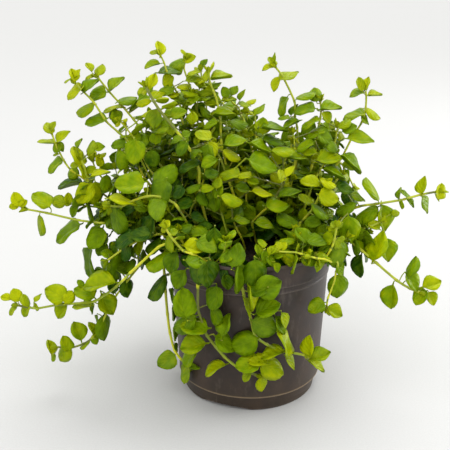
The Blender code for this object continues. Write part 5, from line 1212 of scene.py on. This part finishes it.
def sideTwigs(foliage, nodes, width):
    # the real plant branches all along its rising stems, most of all low down
    chance = foliage.chance
    places = [place for place, leaves in nodes]
    travelled = twigLook["first"] * mm
    spin = chance.uniform(0, 360)
    for first, second in zip(places, places[1:]):
        run = second - first
        along = travelled
        while along < run.length:
            start = first.lerp(second, along / run.length)
            along += chance.uniform(*twigLook["gap"]) * mm
            if not insideCrown(start):
                continue
            growth = run.normalized()
            spin += twigLook["spin"] + chance.gauss(0, twigLook["spinJitter"])
            across = aroundStem(growth, spin)
            reach = chance.uniform(*twigLook["reach"]) * mm
            twig(foliage, start, (across + growth * twigLook["lean"]).normalized(), reach, width)
        travelled = along - run.length


crownLook = dict(
    blade=0.87, bladeMiddle=0.565,  # share of a leaf that its blade takes up, and where the middle of it lies
    leafWidth=0.78,  # of a leaf's length, where the photograph shows it turned and so narrower
    broad=0.8,  # the width past which it has a low leaf's shape
    guard=0.62, guardRead=0.28,  # how far round its middle a leaf of the photograph keeps fillers away
    same=(0.36, 25),  # share of the length, and mm of depth, within which two readings are of one leaf
    tipAge=0.35, ageing=0.3, shadeFrom=190, shadeOver=90,  # ages that weren't read, older and so darker below 190 mm as painted shade
    climb=1.2, slope=0.3,  # how much a leaf would rather hang on a stem from below
    hollowsEnd=12,  # mm behind the pot's axis
    hollows=[(205, 226, 20, 20), (250, 243, 14, 18), (307, 206, 16, 16), (184, 206, 10, 12)],
    # the closely branched heart of the plant
    middle=Vector((0, 12, 122)) * mm, half=Vector((92, 66, 62)) * mm,
    # the edge of the close foliage in the photograph, in pixels across and down
    outline=[(84, 272), (90, 246), (82, 214), (74, 192), (72, 166), (86, 148), (106, 150), (106, 130),
             (116, 118), (134, 106), (136, 84), (158, 68), (178, 58), (206, 68), (228, 88), (252, 100),
             (268, 120), (286, 124), (294, 104), (318, 96), (342, 112), (350, 126), (338, 148), (346, 164),
             (354, 186), (376, 206), (394, 238), (380, 258), (354, 274), (332, 266), (300, 262), (284, 268),
             (250, 262), (222, 266), (200, 268), (178, 266), (166, 260), (148, 250), (132, 272), (112, 276)])
stalkLook = dict(  # the twig that carries a leaf of the crown
    shortest=2, long=10,  # mm
    bow=(0.55, 0.25),  # where it bends, and how far it passes behind the leaves
    # long stalks bow behind the leaves, and their older, darker colour is painted shade
    ages=(0.8, 0.6), longShadedAges=(1, 0.9),
    width=(0.6, 0.9), widening=60)  # mm


def hidesRead(place, reach):  # a filling leaf stays behind the leaves that the photograph shows whole
    across, down, away = photoPixel(place + reach * leafCentre)
    return any(away < depth and math.hypot(across - x, down - y) < radius
               for x, y, radius, depth in readLeaves)


def readLeavesSeen():  # the middle, reach and distance of every leaf in the table that faces the camera
    seen = []
    for name in shoots:
        for place, leaves in shootNodes(name):
            for reach, facing in leaves:
                if facing == front:
                    across, down, away = photoPixel(place + reach * readCentre)
                    seen.append((across, down, reach.length * crownLook["guard"] * focal / away, away))
    return seen


def inHollow(place, reach):  # the photograph looks into dark hollows of the crown: nothing fills their front
    middle = place + reach * leafCentre
    if middle.y > crownLook["hollowsEnd"] * mm:
        return False
    across, down, away = photoPixel(middle)
    return any(((across - x) / wide) ** 2 + ((down - y) / tall) ** 2 < 1
               for x, y, wide, tall in crownLook["hollows"])  # pixels: the middle and half the size


def insideCrown(point):
    offset = point - crownLook["middle"]
    return sum((offset[i] / crownLook["half"][i]) ** 2 for i in range(3)) < 1


def insideCrownOutline(point):  # seen from the photograph's camera, crossing counts
    across, down, away = photoPixel(point)
    corners = crownLook["outline"]
    inside = False
    for i, (ax, ay) in enumerate(corners):
        bx, by = corners[i - 1]
        if (ay > down) != (by > down) and across < ax + (bx - ax) * (down - ay) / (by - ay):
            inside = not inside
    return inside


def crownLeaf(across, down, long, short, heading, depth, age=None):
    middle = photoPoint(across, down, depth * mm)
    span = (middle - eye).dot(look) / focal  # what a pixel spans there
    towardEye = (eye - middle).normalized()
    heading = math.radians(heading)
    axis = right * math.cos(heading) + up * math.sin(heading)
    blade = crownLook["blade"]
    width = max(crownLook["leafWidth"], short / long * blade)
    flat = min(short / long * blade / width, 1)
    lean = raised(axis.cross(towardEye))
    upper = towardEye * flat + lean * math.sqrt(1 - flat * flat)  # a leaf that looks narrow faces up
    reach = axis * long * span / blade
    if age is None:
        # painted shade: unread leaves lower down get older and darker colours
        paintedShade = held((crownLook["shadeFrom"] * mm - middle.z) / (crownLook["shadeOver"] * mm))
        age = crownLook["tipAge"] + crownLook["ageing"] * paintedShade
    return middle - reach * crownLook["bladeMiddle"], reach, upper, width, age


def nearestStem(place, routes):  # the shoot and the point of it that a leaf at this place would grow from
    best = None
    for name, points in routes.items():
        for a, b in zip(points, points[1:]):
            run = b - a
            point = a + run * held((place - a).dot(run) / run.length_squared)
            apart = (point - place).length
            far = apart + crownLook["climb"] * max(point.z - place.z + crownLook["slope"] * apart, 0)
            if best is None or far < best[0]:
                best = (far, name, point)
    return best[1:]


def readAgain(middle):  # a leaf that the crown's own list gives better
    across, down, away = photoPixel(middle)
    near, deep = crownLook["same"]
    return any(math.hypot(across - x, down - y) < near * long and abs(middle.y - depth * mm) < deep * mm
               for x, y, long, short, heading, depth, *age in crownLeaves)


def growCrownLeaf(foliage, start, place, reach, upper, width, age):
    chance = foliage.chance
    apart = (place - start).length
    if apart > stalkLook["shortest"] * mm:
        along, behind = stalkLook["bow"]
        middle = start.lerp(place, along) + look * behind * apart
        if not inPot(middle):
            ages = stalkLook["longShadedAges" if apart > stalkLook["long"] * mm else "ages"]
            thin, thick = stalkLook["width"]
            thickness = min(thin + apart / (stalkLook["widening"] * mm), thick) * mm
            foliage.runs.append(([start, middle, place], thickness, ages))
    kinds = lowKinds if width > crownLook["broad"] else crownKinds
    foliage.leaves.append((chance.choice(kinds), place, reach, upper, width, age, chance.random()))


crownKinds = ["arched round leaf", "broad leaf", "cupped round leaf", "folded oval leaf"]
lowKinds = ["flat round leaf", "cupped round leaf", "arched round leaf", "broad leaf"]
highKinds = ["wavy oval leaf", "folded oval leaf", "arched round leaf", "curled oval leaf", "broad leaf"]
stemAgesAndPaintedLight = {  # from the root to the tip, by the start of the shoot's name
    "trailing_front": (0.3, 0.05),  # painted light: pale from the rim on, where they are in the light
    "inner": (1, 0.8),  # painted shade: dull all along, under the other shoots
    "": (0.95, 0.05),
}


def makeShoot(name):
    nodes = shootNodes(name)
    width = (shoots[name]["stem"] if name in shoots else backStem) * mm
    foliage = Foliage(name)
    ages = next(pair for start, pair in stemAgesAndPaintedLight.items() if name.startswith(start))
    foliage.runs.append(([place for place, leaves in nodes], width, ages))
    dressShoot(nodes, foliage)
    # painted shade: the leaves of the inner shoots are made older and darker
    if name.startswith("inner"):
        foliage.leaves = [(*leaf[:5], min(leaf[5] + ageLook["inner"], 1), leaf[6]) for leaf in foliage.leaves]
    sideTwigs(foliage, nodes, width)
    for start, *leaf in crownGrowth[name]:
        growCrownLeaf(foliage, start, *leaf)
    stem = growStems("leafy_" + name, foliage.runs, stemSkin)
    pick(stem, *[layLeaf(leafKinds[kind], *rest) for kind, *rest in foliage.leaves])
    bpy.ops.object.join()
    stem.data.name = stem.name
    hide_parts(name)
    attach(stem, "root")


started = time.time()
readLeaves = readLeavesSeen()
routes = {name: [place for place, leaves in shootNodes(name)] for name in shoots}
crownGrowth = {name: [] for name in (*shoots, *backShoots)}
for entry in crownLeaves:
    leaf = crownLeaf(*entry)
    name, start = nearestStem(leaf[0], routes)
    crownGrowth[name].append((start, *leaf))
    distance = (leaf[0] + leaf[1] * crownLook["bladeMiddle"] - eye).dot(look)
    readLeaves.append((entry[0], entry[1], crownLook["guardRead"] * (entry[2] + entry[3]), distance))
stemSkin = stemMaterial()
leafSkins = [leafMaterial("fresh leaf, " + side, sideLook) for side, sideLook in leafSides.items()]
leafKinds = {kind: makeLeaf(kind, shape, leafSkins) for kind, shape in leafShapes.items()}
for name in crownGrowth:
    makeShoot(name)
for template in leafKinds.values():
    bpy.data.objects.remove(template)
print("the plant is grown:", len(crownGrowth), "shoots", round(time.time() - started), "s")


# the pot: a circle drawn up the outside, over the rim and down the inside

def drawUp(radius, height, last):  # extrudes the selected ring and takes it to a new radius and height
    lastRadius, lastHeight = last
    widening = radius / lastRadius
    bpy.ops.mesh.extrude_edges_move()
    bpy.ops.transform.resize(value=(widening, widening, 1), center_override=(0, 0, lastHeight * mm))
    bpy.ops.transform.translate(value=(0, 0, (height - lastHeight) * mm))
    return radius, height


def makePot():
    look = potShape
    first = look["outside"][0]
    pot = primitive(bpy.ops.mesh.primitive_circle_add, "moulded_pot", vertices=look["sides"],
                    radius=first[0] * mm, location=(0, 0, first[1] * mm))
    bpy.ops.object.mode_set(mode="EDIT")
    bpy.ops.mesh.select_mode(type="EDGE")
    bpy.ops.mesh.select_all(action="SELECT")
    last = first
    for radius, height in look["outside"][1:] + look["inside"]:
        last = drawUp(radius, height, last)
    bpy.ops.mesh.fill()
    # the underside: back to the first ring and inward to a flat floor
    selectWhere(lambda co: abs(co.z) < 0.01 * mm and abs(co.to_2d().length - first[0] * mm) < 0.1 * mm)
    last = first
    inward, upward = look["floorStep"]
    for radius, height in ((look["footInside"], 0), (look["footInside"] - inward, upward)):
        last = drawUp(radius, height, last)
    bpy.ops.mesh.fill()
    bpy.ops.mesh.select_all(action="SELECT")
    bpy.ops.mesh.normals_make_consistent(inside=False)
    bpy.ops.object.mode_set(mode="OBJECT")
    for angle in look["archAngles"]:
        cutArch(pot, angle)
    modify(pot, "soft dents", "DISPLACE", texture=cloudTexture("dents", look["dentSize"]),
           texture_coords="LOCAL", strength=look["dent"] * mm)
    applyAll(pot)
    pot.data.materials.append(potMaterial())
    pick(pot)
    bpy.ops.object.shade_smooth_by_angle(angle=math.radians(32))
    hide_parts("pot")
    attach(pot, "root")


def cutArch(pot, angle):
    look = potShape
    high, inner, outer = look["archHeight"], look["archInner"], look["archOuter"]
    radius = ((look["archSpan"] / 2) ** 2 + high ** 2) / (2 * high)
    way = math.radians(angle)
    reach = (inner + outer) / 2 * mm
    cutter = primitive(bpy.ops.mesh.primitive_cylinder_add, "arch", vertices=192, radius=radius * mm,
                       depth=(outer - inner) * mm, rotation=(0, math.pi / 2, way),
                       location=(reach * math.cos(way), reach * math.sin(way), (high - radius) * mm))
    modify(pot, "arch", "BOOLEAN", operation="DIFFERENCE", solver="EXACT", object=cutter)
    pick(pot)
    bpy.ops.object.modifier_apply(modifier="arch")
    bpy.data.objects.remove(cutter)


makePot()
print("the pot is drawn up")


# the compost: a lumpy plug with loose crumbs on it

soilShape = dict(  # in mm, but for counts and the shares by which a crumb is stretched
    radius=49.1, foot=42.0, base=5, top=92.5, rings=12, ringWidth=3.9, lumps=1.6, lumpSize=14,
    nearFoot=10, nearTop=90, dropFrom=99, crumbLift=0.2,
    crumbs=700, crumb=(0.7, 2.6), crumbSides=((0.6, 1.6), (0.5, 1.1), (0.5, 0.9)), crumbsWithin=48.2)


def makeSoil():
    look = soilShape
    chance = random.Random(5)
    base, level = look["base"], look["top"]
    soil = primitive(bpy.ops.mesh.primitive_cylinder_add, "loose_compost", vertices=64,
                     radius=look["radius"] * mm, depth=(level - base) * mm,
                     location=(0, 0, (level + base) / 2 * mm))
    applyAll(soil)
    pick(soil)
    bpy.ops.object.mode_set(mode="EDIT")
    bpy.ops.mesh.select_mode(type="VERT")
    selectWhere(lambda co: co.z < look["nearFoot"] * mm)
    narrowing = look["foot"] / look["radius"]
    bpy.ops.transform.resize(value=(narrowing, narrowing, 1), center_override=(0, 0, base * mm))
    nearTop = look["nearTop"] * mm
    selectWhere(lambda co: co.z > nearTop)
    bpy.ops.mesh.select_mode(type="FACE")
    for ring in range(look["rings"]):  # inward, so the top can be lumpy
        bpy.ops.mesh.inset(thickness=look["ringWidth"] * mm)
    bpy.ops.mesh.poke()
    bpy.ops.object.mode_set(mode="OBJECT")
    top = [v.index for v in soil.data.vertices if v.co.z > nearTop and v.co.to_2d().length < mouth]
    soil.vertex_groups.new(name="top").add(top, 1, "ADD")
    modify(soil, "clods", "DISPLACE", texture=cloudTexture("clods", look["lumpSize"]), texture_coords="LOCAL",
           direction="Z", vertex_group="top", strength=look["lumps"] * 2 * mm)
    applyAll(soil)
    soil.data.materials.append(soilMaterial())

    crumb = primitive(bpy.ops.mesh.primitive_ico_sphere_add, "crumb", subdivisions=1, radius=1)
    crumb.data.materials.append(soil.data.materials[0])
    copies = []
    smallest, largest = look["crumb"]
    for i in range(look["crumbs"]):
        radius = look["crumbsWithin"] * mm * math.sqrt(chance.random())
        angle = chance.uniform(0, math.tau)
        spot = Vector((radius * math.cos(angle), radius * math.sin(angle), look["dropFrom"] * mm))
        found, hit, normal, face = soil.ray_cast(spot, Vector((0, 0, -1)))
        size = smallest + (largest - smallest) * chance.random() ** 3
        stretch = Matrix.Diagonal([chance.uniform(*ends) for ends in look["crumbSides"]] + [1])
        spin = Quaternion([chance.gauss(0, 1) for part in range(4)]).normalized()
        lift = Vector((0, 0, size * look["crumbLift"] * mm))
        place = Matrix.Translation(hit + lift) @ spin.to_matrix().to_4x4()
        copies.append(copyOf(crumb, place @ Matrix.Scale(size / 2 * mm, 4) @ stretch))
    bpy.data.objects.remove(crumb)
    pick(soil, *copies)
    bpy.ops.object.join()
    bpy.ops.object.shade_smooth_by_angle(angle=math.radians(40))
    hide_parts("compost")
    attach(soil, "root")


makeSoil()
print("the compost is in")


# floor, light and camera

floor = primitive(bpy.ops.mesh.primitive_plane_add, "floor", size=40)
paper, tree, place = newMaterial("white card")
fibres = (node(tree, "ShaderNodeTexNoise", {"Vector": place, "Scale": 900, "Detail": 2}), "Fac")
tone = ramp(tree, fibres, [(0.3, "#bdbdbc"), (0.7, "#c2c2c1")])
finishMaterial(tree, principled(tree, {"Base Color": tone, "Roughness": 0.9, "Specular IOR Level": 0.1}))
floor.data.materials.append(paper)

world = bpy.data.worlds.new("pale room")
bpy.context.scene.world = world
world.use_nodes = True
sky = world.node_tree
background = sky.nodes["Background"]
background.inputs["Color"].default_value = linear("#fbfbfa")
height = (node(sky, "ShaderNodeSeparateXYZ", {"Vector": (node(sky, "ShaderNodeTexCoord"), "Generated")}), "Z")
glow, output = mapRange(sky, height, (0, 1), (1.16, 1.4))  # a light tent: brighter overhead than at the sides
sky.links.new(glow.outputs[output], background.inputs["Strength"])
bpy.context.scene.view_settings.view_transform = "Standard"


def addLight(name, kind, spot, **settings):  # it stands at the spot, in metres, and shines on the plant
    deselectAll()
    bpy.ops.object.light_add(type=kind, location=spot)
    light = bpy.context.object
    light.name = name
    for key, value in settings.items():
        setattr(light.data, key, value)
    light.rotation_euler = Vector(spot).to_track_quat("Z", "Y").to_euler()


softBoxes = {  # where each one stands, how wide it is, and how strongly it lights the plant
    "box overhead, in front": ((-0.35, -0.7, 1.25), 1.3, 0.7),
    "box at the right": ((1.15, 0.35, 0.3), 0.8, 2.35),
}
for name, (spot, width, power) in softBoxes.items():
    addLight(name, "AREA", spot, size=width, energy=power * math.pi * Vector(spot).length_squared)
addLight("window far above and behind", "SUN", (0.1, 0.7, 1.2), angle=math.radians(40), energy=1.25)

deselectAll()
bpy.ops.object.camera_add(location=eye, rotation=(math.pi / 2 - tilt, 0, -turn))
camera = bpy.context.object
camera.data.sensor_width = 36
camera.data.lens = focal * camera.data.sensor_width / imageWidth
camera.data.clip_start = 0.01
bpy.context.scene.camera = camera
print("floor, lights and camera are set")
